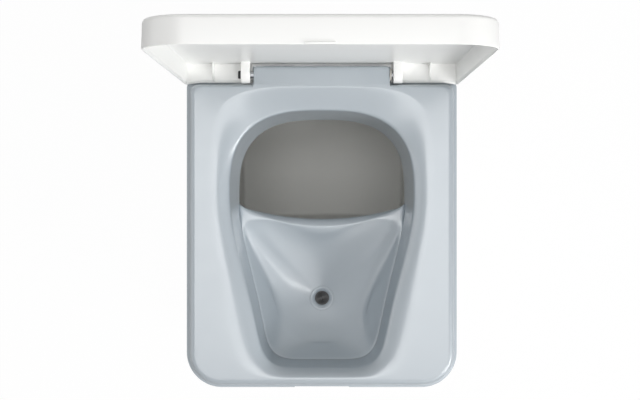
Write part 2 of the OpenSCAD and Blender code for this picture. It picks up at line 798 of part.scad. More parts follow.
// Outline of the diverter, anticlockwise from the lip's right end: the lip, then the bowl's wall at
// the same angles as the seat, so that both have the same facets
lip_n = 12;
diverter_lip = let (x = foot_at(lip_turn, -diverter_gap)[0])
    [for (i = [0:lip_n - 1]) let (u = x - 2*x*i/lip_n) [u, lip_curve(u)]];
left_turn = -180 - lip_turn;
side_angles = concat([left_turn],
    [for (t = seat_angles) if (t > left_turn && t < seat_angles[0]) t],
    [for (t = seat_angles) if (t >= seat_angles[0] && t < lip_turn) t]);
diverter_plan = concat(diverter_lip, [for (t = side_angles) foot_at(t, -diverter_gap)]);

// Share 0 is a flat circle round the drain and share 1 the outline. The height, a share of the
// basin's depth, differs between the lip and the walls.
flange_r = drain_r + 7;
flat_r = flange_r + 0.8;
lip_fade = 45;
function basin_ring(share, at_lip, at_wall) = [for (i = [0:len(diverter_plan) - 1])
    let (p = diverter_plan[i] - [0, drain_y], l = norm(p),
        q = p*((flat_r + (l - flat_r)*share)/l),
        lip = i < lip_n ? smooth((diverter_plan[0][0] - abs(p[0]))/lip_fade) : 0)
    [q[0], drain_y + q[1], drain_z + basin_depth*(at_wall + (at_lip - at_wall)*lip)]];

module diverter_bowl() {
    t = diverter_t/basin_depth;
    color(pale_blue) difference() {
        skin([
            basin_ring(0, -t, -t),
            basin_ring(0.3, 0.25 - t, 0.11 - t),
            basin_ring(0.6, 0.55 - t, 0.3 - t),
            basin_ring(0.85, 0.82 - t, 0.52 - t),
            basin_ring(0.95, 0.93 - t, 0.66 - t),
            basin_ring(1, 0.97 - t, 0.76),
            basin_ring(1, 1, 1),
            basin_ring(0.975, 1, 0.96),
            basin_ring(0.94, 0.97, 0.78),
            basin_ring(0.85, 0.86, 0.58),
            basin_ring(0.6, 0.58, 0.33),
            basin_ring(0.3, 0.27, 0.13),
            basin_ring(0.05, 0.01, 0.01),
            basin_ring(0, 0, 0)]);
        translate([0, drain_y, drain_z - 20])
            cylinder(r = drain_r + spout_wall + rest_gap, h = 40, $fn = 64);
    }
}

module drain_spout() {
    color(pale_blue) translate([0, drain_y, 0]) rotate_extrude($fn = 64) polygon([
        [drain_r, spout_foot_z], [drain_r + spout_wall, spout_foot_z],
        [drain_r + spout_wall, drain_z + 0.1], [flange_r, drain_z + 0.1],
        [flange_r, drain_z + 0.6], [drain_r + 1, drain_z + 0.6], [drain_r, drain_z - 1]]);
}

module drain_nut() {
    color(white) translate([0, drain_y, drain_z - diverter_t - 5.2]) difference() {
        cylinder(r = flange_r + 2, h = 5, $fn = 6);
        translate([0, 0, -1]) cylinder(r = drain_r + spout_wall + run_gap, h = 7, $fn = 64);
    }
}

// Slit rubber valve in the spout
module drain_valve() {
    r = drain_r - 0.05;
    color(black) translate([0, drain_y, drain_z - 7]) difference() {
        union() {
            cylinder(r = r, h = 3, $fn = 64);
            translate([0, 0, -6]) cylinder(r1 = 3, r2 = 7, h = 6.5, $fn = 64);
        }
        rotate([0, 0, 45]) translate([-5, -0.4, -7]) cube([10, 0.8, 12]);
        translate([0, 0, 1.5]) cylinder(r = r - 2, h = 2, $fn = 64);
    }
}

// ---- Lid ----

lug_x = block_half_w + lug_gap;
head_t = 4;
head_r = 5.7;
washer_r = 8.35;
washer_t = 2.5;
pin_in = 16;

module lid_pin_left() {
    color(steel) rod_x(-lug_x - lug_t - 0.3, pin_y, pin_z, pin_r, lug_t + lug_gap + pin_in + 0.3);
}
module lid_pin_head() {
    color(black) rod_x(-lug_x - lug_t - 0.3 - head_t, pin_y, pin_z, head_r, head_t);
}
module lid_pin_right() {
    color(steel) rod_x(block_half_w - pin_in, pin_y, pin_z, pin_r, pin_in + lug_gap + lug_t - 0.5);
}
module lid_pin_flange() {
    color([0.75, 0.74, 0.70]) difference() {
        rod_x(block_half_w + rest_gap, pin_y, pin_z, washer_r, washer_t);
        rod_x(block_half_w - 1, pin_y, pin_z, pin_r + run_gap, washer_t + 2);
    }
}

// The lid is drawn closed, about its pins, and turned up
lid_round = 5;
lid_corner_r = front_corner_r + lid_over;
lid_front = pin_inset - body_d - lid_over;
function lid_plan(e) = plan(half_w + lid_over - e, lid_front + e, pin_inset - e, lid_corner_r - e,
    max(2.5, 6 - e), 1, 8);

module lid_lug(x) {
    r = lid_down - 0.2;
    rod_x(x, 0, 0, r, lug_t);
    translate([x, -r, 0]) cube([lug_t, r + pin_inset - lid_wall/2, lid_up - lid_wall/2]);
    translate([x, 0, -r]) cube([lug_t, pin_inset - lid_wall/2, r + 1]);
}

module lid_gusset(x) {
    rear = pin_inset - lid_wall/2;
    up = lid_up - lid_wall/2;
    translate([x - gusset_t/2, 0, 0]) rotate([90, 0, 90]) linear_extrude(gusset_t)
        polygon([[rear, 3 - lid_down], [rear, up], [rear - 36, up]]);
}

module lid_shell() {
    w = lid_wall;
    notch = block_half_w + 2;
    color(white) translate([0, pin_y, pin_z]) rotate([-90, 0, 0]) difference() {
        union() {
            skin([
                at_z(lid_plan(w + lid_round), lid_up - w),
                at_z(lid_plan(w + lid_round*0.4), lid_up - w - lid_round*0.4),
                at_z(lid_plan(w), lid_up - w - lid_round),
                at_z(lid_plan(w), -lid_down),
                at_z(lid_plan(0), -lid_down),
                at_z(lid_plan(0.8), lid_up - lid_round),
                at_z(lid_plan(lid_round*0.4), lid_up - lid_round*0.35),
                at_z(lid_plan(lid_round), lid_up)]);
            for (s = [-1, 1]) {
                lid_lug(s > 0 ? lug_x : -lug_x - lug_t);
                lid_gusset(s*gusset_x);
            }
            translate([-lid_lip_w/2, lid_front - 1.8, -lid_down]) cube([lid_lip_w, 3, 3]);
        }
        translate([-notch, pin_inset - w - 0.1, -lid_down - 1])
            cube([2*notch, w + 1, lid_down + 1 + notch_up]);
        rod_x(-lug_x - lug_t - 1, 0, 0, pin_r + run_gap, lug_t + 2);
        rod_x(lug_x - 1, 0, 0, pin_r + run_gap, lug_t + 2);
    }
}

base_tray();
foot_pads();
base_screws();
housing_shell();
divider_panel();
solids_bin();
urine_bottle();
bottle_neck_ring();
seat_gasket();
insect_screen();
fan_frame();
fan_rotor();
vent_gasket();
vent_spigot();
vent_screws();
dc_socket();
dc_socket_nut();
fan_lead();
seat_hinge_leaves();
seat_hinge_pins();
seat_hinge_screws();
seat_deck();
hinge_block();
diverter_bowl();
drain_spout();
drain_nut();
drain_valve();
lid_pin_left();
lid_pin_head();
lid_pin_right();
lid_pin_flange();
lid_shell();
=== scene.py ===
# %% [markdown]
# # A composting toilet, seen from above
# The object is a dry toilet with a white lid, a pale blue-grey seat, a diverter basin and a bin under
# it. Its solids come from a CAD model, which is the fixed frame: every new piece sits where a CAD
# piece sits, and rides on the same body. This file makes the looks. We work in metres, and write
# sizes as millimetres times MM, because that is how a maker would give them.

import json
import math

import bmesh
import bpy
import numpy as np
from mathutils import Matrix, Vector


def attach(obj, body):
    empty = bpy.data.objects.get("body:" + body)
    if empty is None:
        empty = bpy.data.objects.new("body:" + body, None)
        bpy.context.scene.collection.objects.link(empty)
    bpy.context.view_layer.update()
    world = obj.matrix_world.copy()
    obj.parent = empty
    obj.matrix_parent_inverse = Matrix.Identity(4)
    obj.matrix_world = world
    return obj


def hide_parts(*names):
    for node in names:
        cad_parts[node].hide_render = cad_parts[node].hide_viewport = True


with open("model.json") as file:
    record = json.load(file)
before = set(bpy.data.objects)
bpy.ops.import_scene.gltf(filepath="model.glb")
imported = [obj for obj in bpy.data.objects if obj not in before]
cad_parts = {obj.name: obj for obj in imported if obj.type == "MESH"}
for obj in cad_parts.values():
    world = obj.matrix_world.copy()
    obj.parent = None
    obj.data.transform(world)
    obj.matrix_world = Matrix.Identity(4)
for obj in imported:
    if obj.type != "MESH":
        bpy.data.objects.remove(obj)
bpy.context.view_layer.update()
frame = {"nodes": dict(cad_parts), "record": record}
MM = 0.001
NODES = frame["nodes"]

# %% [markdown]
# ## The camera
# The photograph was taken from straight above with a fairly long lens. Two things fix such a camera:
# where vertical lines seem to meet, which is right under it, and how fast things shrink with depth.
# The open lid and the bowl's wall give both. The meeting point lies a little off the frame's middle,
# so the lens is shifted by that little, and the camera itself looks exactly down.

# %% Camera over the seat
EYE = Vector((6.6, 43.6, 2129)) * MM
LENS_PX = 1216
FRAME_W_PX, FRAME_H_PX = 640, 400
VANISHING_PX = (326.4, 195.9)

camera_data = bpy.data.cameras.new("photo_camera")
camera_data.sensor_width = 36
camera_data.lens = LENS_PX / FRAME_W_PX * camera_data.sensor_width
camera_data.shift_x = (FRAME_W_PX / 2 - VANISHING_PX[0]) / FRAME_W_PX
camera_data.shift_y = (VANISHING_PX[1] - FRAME_H_PX / 2) / FRAME_W_PX
camera = bpy.data.objects.new("photo_camera", camera_data)
camera.location = EYE
bpy.context.scene.collection.objects.link(camera)
bpy.context.scene.camera = camera
print(f"lens {camera_data.lens:.1f} mm, {EYE.z:.2f} m over the floor")

# %% [markdown]
# ## Light and floor
# The photograph has soft studio light: walls that face the right and the front are brighter than
# those that face the left and the rear. A large key lamp stands low at the front right, and a small
# one above it draws the crisp glints. Four broad lamps at the front, left, back and top fill the
# shadows, each with its own power, because each lights the walls that face it. The white surround
# gives little light of its own, but the camera, reflections and clear pieces see it in full. The
# floor is white to the camera and takes only a trace of the object's shadow.

# %% Lamps, surround and floor
bpy.context.scene.view_settings.view_transform = "Standard"
SURROUND = 0.15
AIM = Vector((0, 0, 0.4))
FLOOR_SIZE, FLOOR_GREY, FLOOR_GLOW = 6, 0.9, 0.97
world = bpy.data.worlds.new("white_surround")
bpy.context.scene.world = world
world.use_nodes = True
tree = world.node_tree
backdrop = tree.nodes["Background"]
rays = tree.nodes.new("ShaderNodeLightPath")
seen = rays.outputs["Is Camera Ray"]
for kind in ("Is Transmission Ray", "Is Glossy Ray"):
    either = tree.nodes.new("ShaderNodeMath")
    either.operation = "MAXIMUM"
    tree.links.new(seen, either.inputs[0])
    tree.links.new(rays.outputs[kind], either.inputs[1])
    seen = either.outputs[0]
strength = tree.nodes.new("ShaderNodeMapRange")
strength.inputs["To Min"].default_value = SURROUND
strength.inputs["To Max"].default_value = 1.0
tree.links.new(seen, strength.inputs["Value"])
tree.links.new(strength.outputs[0], backdrop.inputs["Strength"])
backdrop.inputs["Color"].default_value = (1, 1, 1, 1)


def soft_lamp(name, azimuth, elevation, distance, size, power):
    """A square lamp that faces the seat, seen from it at this azimuth (0 is +X) and elevation."""
    data = bpy.data.lights.new(name, "AREA")
    data.size = size
    data.energy = power
    lamp = bpy.data.objects.new(name, data)
    around, up = math.radians(azimuth), math.radians(elevation)
    away = Vector((math.cos(around) * math.cos(up), math.sin(around) * math.cos(up), math.sin(up)))
    lamp.location = AIM + away * distance
    lamp.rotation_euler = away.to_track_quat("Z", "Y").to_euler()
    bpy.context.scene.collection.objects.link(lamp)


soft_lamp("key_lamp", -30, 27, 2.6, 1.3, 38.5)
soft_lamp("small_lamp", -46, 59, 2.6, 0.15, 4)
soft_lamp("front_lamp", -65, 38, 2.6, 1.6, 11.5)
soft_lamp("left_lamp", 180, 15, 2.6, 2.4, 12.5)
soft_lamp("back_lamp", 96, 19, 2.6, 1.6, 11)
soft_lamp("top_lamp", 90, 88, 2.7, 1.45, 23.5)

floor_mesh = bpy.data.meshes.new("studio_floor")
bm = bmesh.new()
bmesh.ops.create_grid(bm, x_segments=1, y_segments=1, size=FLOOR_SIZE)
bm.to_mesh(floor_mesh)
bm.free()
floor = bpy.data.objects.new("studio_floor", floor_mesh)
bpy.context.scene.collection.objects.link(floor)
floor_paint = bpy.data.materials.new("studio_floor")
floor_paint.use_nodes = True
tree = floor_paint.node_tree
painted = tree.nodes["Principled BSDF"]
painted.inputs["Base Color"].default_value = (FLOOR_GREY, FLOOR_GREY, FLOOR_GREY, 1)
painted.inputs["Roughness"].default_value = 0.9
glow = tree.nodes.new("ShaderNodeEmission")
blend = tree.nodes.new("ShaderNodeMixShader")
rays = tree.nodes.new("ShaderNodeLightPath")
share = tree.nodes.new("ShaderNodeMath")
share.operation = "MULTIPLY"
share.inputs[1].default_value = FLOOR_GLOW
tree.links.new(rays.outputs["Is Camera Ray"], share.inputs[0])
tree.links.new(share.outputs[0], blend.inputs[0])
tree.links.new(painted.outputs[0], blend.inputs[1])
tree.links.new(glow.outputs[0], blend.inputs[2])
tree.links.new(blend.outputs[0], tree.nodes["Material Output"].inputs["Surface"])
floor_mesh.materials.append(floor_paint)
print(len(bpy.data.lights), "lamps round", tuple(round(v, 2) for v in AIM))

# %% [markdown]
# ## Finishes
# Moulded plastic is never one flat colour. It has faint clouds from the melt, a skin that is glossier
# in some places than in others, and a grain of a fraction of a millimetre that breaks up reflections.
# All three come from noise on Object coordinates, which are the real metres of the piece, so a grain
# of 1 mm is a noise scale of about 1000. The pale blue plastic also has a clear coat, which gives it
# the thin bright lines that a polished mould leaves. Screen colours are turned into the linear values
# that a shader takes.

# %% Colours, noise and skins
COAT_ROUGHNESS, GRAIN_DEPTH, GLOSS_FINER = 0.15, 0.2, 5
NOISE_LOW, NOISE_HIGH = 0.3, 0.7


def srgb(r, g, b):
    """Screen values 0 to 255 as the linear values that a material takes."""
    def one(v):
        v = v / 255
        return v / 12.92 if v <= 0.04045 else ((v + 0.055) / 1.055) ** 2.4
    return (one(r), one(g), one(b), 1)


def noise(tree, scale, detail=2, stretch=(1, 1, 1)):
    """Noise on the piece's own metres; stretch draws it out along an axis."""
    place = tree.nodes.new("ShaderNodeTexCoord")
    turn = tree.nodes.new("ShaderNodeMapping")
    turn.inputs["Scale"].default_value = stretch
    cloud = tree.nodes.new("ShaderNodeTexNoise")
    cloud.inputs["Scale"].default_value = scale
    cloud.inputs["Detail"].default_value = detail
    tree.links.new(place.outputs["Object"], turn.inputs["Vector"])
    tree.links.new(turn.outputs["Vector"], cloud.inputs["Vector"])
    return cloud.outputs["Fac"]


def spread(tree, value, low, high):
    """Noise stays near 0.5, so its usual range is spread over low to high."""
    span = tree.nodes.new("ShaderNodeMapRange")
    span.inputs["From Min"].default_value = NOISE_LOW
    span.inputs["From Max"].default_value = NOISE_HIGH
    span.inputs["To Min"].default_value = low
    span.inputs["To Max"].default_value = high
    tree.links.new(value, span.inputs["Value"])
    return span.outputs["Result"]


def finish(name, colour, roughness, clouds=0.006, cloud_scale=9, grain=900, bump=0.01, uneven=0.02,
           metal=0.0, sheen=0.5, polish=0.0, stretch=(1, 1, 1)):
    """A moulded, rubber or metal skin: cloudy colour, uneven gloss, a fine grain and some polish."""
    paint = bpy.data.materials.new(name)
    paint.use_nodes = True
    tree = paint.node_tree
    skin = tree.nodes["Principled BSDF"]
    skin.inputs["Metallic"].default_value = metal
    skin.inputs["Specular IOR Level"].default_value = sheen
    skin.inputs["Coat Weight"].default_value = polish
    skin.inputs["Coat Roughness"].default_value = COAT_ROUGHNESS
    tone = tree.nodes.new("ShaderNodeMix")
    tone.data_type = "RGBA"
    tone.inputs["A"].default_value = tuple(c * (1 - clouds) for c in colour[:3]) + (1,)
    tone.inputs["B"].default_value = tuple(min(1, c * (1 + clouds)) for c in colour[:3]) + (1,)
    tree.links.new(spread(tree, noise(tree, cloud_scale, 3, stretch), 0, 1), tone.inputs["Factor"])
    tree.links.new(tone.outputs["Result"], skin.inputs["Base Color"])
    gloss = noise(tree, cloud_scale * GLOSS_FINER, 3, stretch)
    tree.links.new(spread(tree, gloss, roughness - uneven, roughness + uneven), skin.inputs["Roughness"])
    relief = tree.nodes.new("ShaderNodeBump")
    relief.inputs["Strength"].default_value = bump
    relief.inputs["Distance"].default_value = GRAIN_DEPTH * MM
    tree.links.new(noise(tree, grain, 2, stretch), relief.inputs["Height"])
    tree.links.new(relief.outputs["Normal"], skin.inputs["Normal"])
    return paint


# %% The finishes, by the record's material slots
FINISH = {
    "white_plastic": finish("white_plastic", srgb(250, 250, 248), 0.3, sheen=0.6),
    "blue_plastic": finish("blue_plastic", srgb(163, 172, 179), 0.33, sheen=1.0, polish=0.6),
    "grey_plastic": finish("grey_plastic", srgb(224, 224, 221), 0.5, grain=600, bump=0.08),
    "bottle_plastic": finish("bottle_plastic", srgb(235, 235, 228), 0.4, clouds=0.05, bump=0.05),
    "black_plastic": finish("black_plastic", srgb(35, 35, 37), 0.4, bump=0.08),
    "black_rubber": finish("black_rubber", srgb(40, 40, 41), 0.7, grain=1500, bump=0.15),
    "grey_rubber": finish("grey_rubber", srgb(78, 78, 78), 0.6, grain=1500, bump=0.1),
    "beige_plastic": finish("beige_plastic", srgb(190, 188, 180), 0.5),
    "steel": finish("steel", srgb(168, 170, 173), 0.3, clouds=0.05, grain=1500, bump=0.1,
                    metal=1.0, stretch=(0.05, 1, 1)),
}
for part in frame["record"]["subparts"]:
    node = NODES[part["node"]]
    node.data.materials.clear()
    node.data.materials.append(FINISH[part["material_slot"]])
print(len(FINISH), "finishes on", len(NODES), "CAD pieces")

# %% [markdown]
# ## How the curved pieces are drawn
# A seat, a bowl and a lid are skins that follow one outline which changes as it goes up or in. A
# modeller could push a subdivision cage about, but here each ring of the skin is known from the CAD
# model's own curves. So a circle is made with as many points as the outline, its points are put on
# the first ring, and its edges are extruded to each next ring. That is what a loft does in a CAD
# program. A tube joins its last ring to its first, and a vessel is closed with flat faces. Holes,
# pockets and joined-on forms come from booleans with a loose tool, and small edges from a bevel.

# %% Lofting through rings, cutting and rounding
CREASE = 38
LARGE_FLAT = 0.0008
ROD_SIDES = 48
QUARTER = [math.radians(degrees) for degrees in range(0, 91, 15)]


def loop_edges(bm, ring):
    return [bm.edges.get((a, b)) for a, b in zip(ring, ring[1:] + ring[:1])]


def loft(bm, rings, tube=False):
    """Draws a closed skin through rings of equal length, given in millimetres."""
    ring = list(bmesh.ops.create_circle(bm, segments=len(rings[0]), radius=1)["verts"])
    first = ring
    for number, places in enumerate(rings):
        if number:
            made = bmesh.ops.extrude_edge_only(bm, edges=loop_edges(bm, ring))["geom"]
            fresh = {part for part in made if isinstance(part, bmesh.types.BMVert)}
            ring = [next(e.other_vert(v) for e in v.link_edges if e.other_vert(v) in fresh)
                    for v in ring]
        for vert, place in zip(ring, places):
            vert.co = Vector(place) * MM
    if tube:
        bmesh.ops.bridge_loops(bm, edges=loop_edges(bm, first) + loop_edges(bm, ring))
    else:
        bmesh.ops.holes_fill(bm, edges=loop_edges(bm, first) + loop_edges(bm, ring))
    return bm


def piece(name, bm, body, slot, nodes=()):
    """Makes the object, with soft shading up to the crease angle, and hands it to its body."""
    bmesh.ops.recalc_face_normals(bm, faces=bm.faces)
    mesh = bpy.data.meshes.new(name)
    bm.to_mesh(mesh)
    bm.free()
    mesh.shade_smooth()
    mesh.set_sharp_from_angle(angle=math.radians(CREASE))
    obj = bpy.data.objects.new(name, mesh)
    bpy.context.scene.collection.objects.link(obj)
    mesh.materials.append(FINISH[slot])
    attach(obj, body)
    if nodes:
        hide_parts(*nodes)
    low = [min(v.co[i] for v in mesh.vertices) / MM for i in range(3)]
    high = [max(v.co[i] for v in mesh.vertices) / MM for i in range(3)]
    print(name, len(mesh.polygons), "faces,", [round(v) for v in low], "to", [round(v) for v in high])
    return obj


def cut(obj, shape, operation="DIFFERENCE"):
    """Takes the shape out of the object, or joins it on, and throws the shape away.

    A face over LARGE_FLAT square metres is flat, and shading it softly would streak it."""
    carve = obj.modifiers.new("cut", "BOOLEAN")
    carve.operation = operation
    carve.solver = "EXACT"
    carve.object = shape
    with bpy.context.temp_override(object=obj, active_object=obj, selected_objects=[obj]):
        bpy.ops.object.modifier_apply(modifier="cut")
    obj.data.set_sharp_from_angle(angle=math.radians(CREASE))
    for face in obj.data.polygons:
        face.use_smooth = face.area < LARGE_FLAT
    bpy.data.objects.remove(shape)


def box(low, high):
    """A box between two corners in millimetres."""
    bm = bmesh.new()
    bmesh.ops.create_cube(bm, size=1)
    size = [high[i] - low[i] for i in range(3)]
    middle = [(high[i] + low[i]) / 2 for i in range(3)]
    bmesh.ops.scale(bm, vec=Vector(size) * MM, verts=bm.verts)
    bmesh.ops.translate(bm, vec=Vector(middle) * MM, verts=bm.verts)
    return bm


def rod(start, axis, r, length):
    """A rod of radius r from a start point along +X or +Y."""
    bm = bmesh.new()
    bmesh.ops.create_cone(bm, cap_ends=True, segments=ROD_SIDES, radius1=r * MM, radius2=r * MM,
                          depth=length * MM)
    turn = {"X": Matrix.Rotation(math.radians(90), 4, "Y"),
            "Y": Matrix.Rotation(math.radians(-90), 4, "X")}[axis]
    along = {"X": (1, 0, 0), "Y": (0, 1, 0)}[axis]
    middle = Vector(start) + Vector(along) * length / 2
    bmesh.ops.transform(bm, matrix=Matrix.Translation(middle * MM) @ turn, verts=bm.verts)
    return bm


def prism(outline, push):
    """A flat outline of 3-D points in millimetres, pushed along a vector into a solid."""
    bm = bmesh.new()
    corners = [bm.verts.new(Vector(p) * MM) for p in outline]
    bmesh.ops.contextual_create(bm, geom=corners)
    grown = bmesh.ops.extrude_face_region(bm, geom=bm.faces[:])["geom"]
    bmesh.ops.translate(bm, vec=Vector(push) * MM,
                        verts=[part for part in grown if isinstance(part, bmesh.types.BMVert)])
    bmesh.ops.recalc_face_normals(bm, faces=bm.faces)
    return bm


def soften(bm, size, segments=3, sharp=30, where=lambda edge: True):
    """Rounds the edges that are sharper than an angle in degrees."""
    edges = [e for e in bm.edges if e.calc_face_angle(0) > math.radians(sharp) and where(e)]
    bmesh.ops.bevel(bm, geom=edges, offset=size * MM, segments=segments, profile=0.5, affect="EDGES",
                    material=-1, clamp_overlap=True)
    return bm


def tool(bm, matrix=Matrix.Identity(4)):
    """A loose object to cut with."""
    mesh = bpy.data.meshes.new("tool")
    bm.to_mesh(mesh)
    bm.free()
    mesh.transform(matrix)
    obj = bpy.data.objects.new("tool", mesh)
    bpy.context.scene.collection.objects.link(obj)
    return obj


def turned(profile, place=(0, 0, 0), facing=(0, 0, 1), sides=64):
    """Circles along a profile of radius and height, from a place in a direction, ready for loft."""
    stand = Matrix.Translation(Vector(place)) @ Vector(facing).to_track_quat("Z", "Y").to_matrix().to_4x4()
    turns = [2 * math.pi * i / sides for i in range(sides)]
    return [[stand @ Vector((r * math.cos(a), r * math.sin(a), h)) for a in turns] for r, h in profile]


# %% [markdown]
# ## The outlines
# Seen from above, the seat is a rectangle with two large round corners at the front, and the bowl is a
# squarish oval that narrows towards the front. The oval is a superellipse: the power sets how square
# it is, and the taper how much width it loses. The sizes are the CAD model's.

# %% Outlines of the seat and the bowl
HALF_W, FRONT_Y, REAR_Y, SHELF_Y, CORNER_R = 192.5, -229, 229, 201, 50
SEAT_Z, LEDGE_Z, TOP_Z, EDGE_Z, FOOT_Z = 383.5, 395, 415, 405, 335
LEDGE_W, TOP_ROUND, SEAT_WALL, SHELF_Z, WALL_TOP = 4.5, 8, 3, 388.4, 397.8
BOWL_Y, BOWL_HALF_W, BOWL_REAR, BOWL_FRONT, FRONT_SQUARE = 45, 130.6, 119.5, 245, 6
BOWL_SHAPE, CREST_SHAPE = (2.8, 0.27, 0.85), (4.3, 0.1, 0.6)
BLOCK_IN, BLOCK_OUT = 95.8, 97.2
GRIP_HALF_W, GRIP_END, GRIP_DEPTH = 38.5, 38.7, 1


def smooth(t):
    t = min(1, max(0, t))
    return t * t * (3 - 2 * t)


def arc(cx, cy, r, start, end, n):
    turns = [math.radians(start + (end - start) * i / n) for i in range(n + 1)]
    return [(cx + r * math.cos(a), cy + r * math.sin(a)) for a in turns]


def between(p, q, n):
    return [(p[0] + (q[0] - p[0]) * i / n, p[1] + (q[1] - p[1]) * i / n) for i in range(1, n)]


def plan(half_w, front, rear, front_r, rear_r, side_n, corner_n):
    """A box with round corners, anticlockwise from the front right, each side in side_n pieces."""
    return (arc(half_w - front_r, front + front_r, front_r, -90, 0, corner_n)
            + between((half_w, front + front_r), (half_w, rear - rear_r), side_n)
            + arc(half_w - rear_r, rear - rear_r, rear_r, 0, 90, corner_n)
            + between((half_w - rear_r, rear), (rear_r - half_w, rear), side_n)
            + arc(rear_r - half_w, rear - rear_r, rear_r, 90, 180, corner_n)
            + between((-half_w, rear - rear_r), (-half_w, front + front_r), side_n)
            + arc(front_r - half_w, front + front_r, front_r, 180, 270, corner_n)
            + between((front_r - half_w, front), (half_w - front_r, front), side_n))


def oval(t, side, rear, front, power, taper, reach):
    """A point of the squarish oval at polar angle t, in radians, grown by side, rear and front.

    The power sets how square its rear is. It loses the taper's share of its width within its reach."""
    s = math.sin(t)
    n = power if s > 0 else FRONT_SQUARE
    across = BOWL_HALF_W + side
    along = BOWL_REAR + rear if s > 0 else BOWL_FRONT + front
    r = ((abs(math.cos(t)) / across) ** n + (abs(s) / along) ** n) ** (-1 / n)
    keep = 1 if s > 0 else 1 - taper * smooth(-r * s / along / reach)
    return (r * math.cos(t) * keep, BOWL_Y + r * s)


def bowl_at(t, e):
    return oval(t, e, e, e, *BOWL_SHAPE)


def foot_at(t, e):
    return oval(t, e - 9, e - 9, e - 4, *BOWL_SHAPE)


def part_way(p, q, k):
    return tuple(u + (v - u) * k for u, v in zip(p, q))


def wall_at(t, z, e):
    """The bowl's wall between its foot and its brim, at height z, grown by e."""
    return part_way(foot_at(t, e), bowl_at(t, e), (z - FOOT_Z) / (EDGE_Z - SEAT_WALL - FOOT_Z))


def crest_at(t):
    return oval(t, 30, 33.3, 14, *CREST_SHAPE)


def seat_plan(e, er, beside=0):
    """The seat's outline, drawn in by e, by er at the rear, and by beside more next to the hinge block.

    The middle of the front has a shallow grip, where the seat is lifted."""
    hw, front_r, rear_r, rear = HALF_W - e, CORNER_R - e, 2 if e < 1 else 12, SHELF_Y - er - beside
    right = (arc(hw - front_r, FRONT_Y + CORNER_R, front_r, -90, 0, 20)
             + between((hw, FRONT_Y + CORNER_R), (hw, rear - rear_r), 56)
             + arc(hw - rear_r, rear - rear_r, rear_r, 0, 90, 20)
             + between((hw - rear_r, rear), (BLOCK_OUT, rear), 11) + [(BLOCK_OUT, rear)])
    block_side = [(BLOCK_IN, rear + beside), (-BLOCK_IN, rear + beside)]
    middle = block_side[:1] + between(*block_side, 32) + block_side[1:]
    left = [(-x, y) for x, y in reversed(right)]
    front = FRONT_Y + e
    grip = max(front, FRONT_Y + GRIP_DEPTH)
    ends = [(-GRIP_END, front), (-GRIP_HALF_W, grip), (GRIP_HALF_W, grip), (GRIP_END, front)]
    return (right + middle + left + between(left[-1], ends[0], 14) + ends[:2]
            + between(ends[1], ends[2], 24) + ends[2:] + between(ends[3], right[0], 14))


def level(outline, z):
    return [(p[0], p[1], z) for p in outline]


def mix_rings(a, b, k):
    return [part_way(p, q, k) for p, q in zip(a, b)]


TURNS = [math.atan2(y - BOWL_Y, x) for x, y in seat_plan(0, 0)]
print(len(TURNS), "points round the seat")

# %% [markdown]
# ## The seat
# The seat is one hollow moulding. From the outside in it has a low skirt with a narrow ledge, a riser
# that rounds over into the flat seating surface, a crest where the surface starts to fall, a sloping
# dish, and the bowl's wall. It is drawn as one tube of rings that runs over the top, down the wall and
# back underneath. The crest is crisp at the rear, soft at the sides and in between at the front, so
# the power of the dish's slope changes with the angle.

# %% Rings of the seat
DISH_SIDE, DISH_REAR, DISH_FRONT = 3, 1.15, 1.7
DISH_STEPS = (0, 0.02, 0.05, 0.1, 0.17, 0.25, 0.34, 0.44, 0.54, 0.64, 0.74, 0.84, 0.93, 1)
REAR_IN, REAR_ROUND, BRIM_OUT, BRIM_ROUND = 0.1, 4.4, 4, 8


def seat_ring(e, er, z, beside=0):
    return level(seat_plan(e, er, beside), z)


def dish_ring(k):
    ring = []
    for t, p, q in zip(TURNS, CREST, BRIM):
        rear = smooth(1.6 * math.sin(t) - 0.3)
        front = smooth((-math.sin(t) - 0.9) / 0.08)
        power = DISH_SIDE + (DISH_REAR - DISH_SIDE) * rear + (DISH_FRONT - DISH_SIDE) * front
        ring.append(part_way(p, q, k) + (TOP_Z - (TOP_Z - EDGE_Z) * k ** power,))
    return ring


CREST = [crest_at(t) for t in TURNS]
BRIM = [wall_at(t, WALL_TOP, 2.25) for t in TURNS]
RISER = LEDGE_W + 1
rings = [seat_ring(SEAT_WALL, SEAT_WALL, SEAT_Z), seat_ring(0.5, 0, SEAT_Z), seat_ring(0, 0, SEAT_Z + 0.5),
         seat_ring(0, REAR_IN, LEDGE_Z - 0.9), seat_ring(0.25, REAR_IN, LEDGE_Z - 0.25),
         seat_ring(0.9, REAR_IN, LEDGE_Z - 0.04), seat_ring(LEDGE_W - 0.7, REAR_IN, LEDGE_Z),
         seat_ring(LEDGE_W - 0.1, REAR_IN, LEDGE_Z + 0.3), seat_ring(LEDGE_W + 0.1, REAR_IN, LEDGE_Z + 1)]
for i in range(9):
    turn = math.radians(i * 90 / 8)
    rings.append(seat_ring(RISER + TOP_ROUND * (1 - math.cos(turn)), REAR_IN, TOP_Z - TOP_ROUND + TOP_ROUND
                           * math.sin(turn), REAR_ROUND * (1 - math.cos(turn))))
flat = seat_ring(RISER + TOP_ROUND + 0.2, 0.6, TOP_Z, REAR_ROUND + 0.3)
rings.append(flat)
rings.append(mix_rings(flat, level(CREST, TOP_Z), 0.92))
rings += [dish_ring(k) for k in DISH_STEPS]
for degrees in (36, 46, 56, 66, 78, 90):
    turn = math.radians(degrees)
    rings.append(level([wall_at(t, WALL_TOP, BRIM_OUT * (1 - math.sin(turn))) for t in TURNS],
                       WALL_TOP + BRIM_ROUND * math.cos(turn)))
for k in range(1, 9):
    z = WALL_TOP + (FOOT_Z + 0.6 - WALL_TOP) * k / 8
    rings.append(level([wall_at(t, z, 0) for t in TURNS], z))
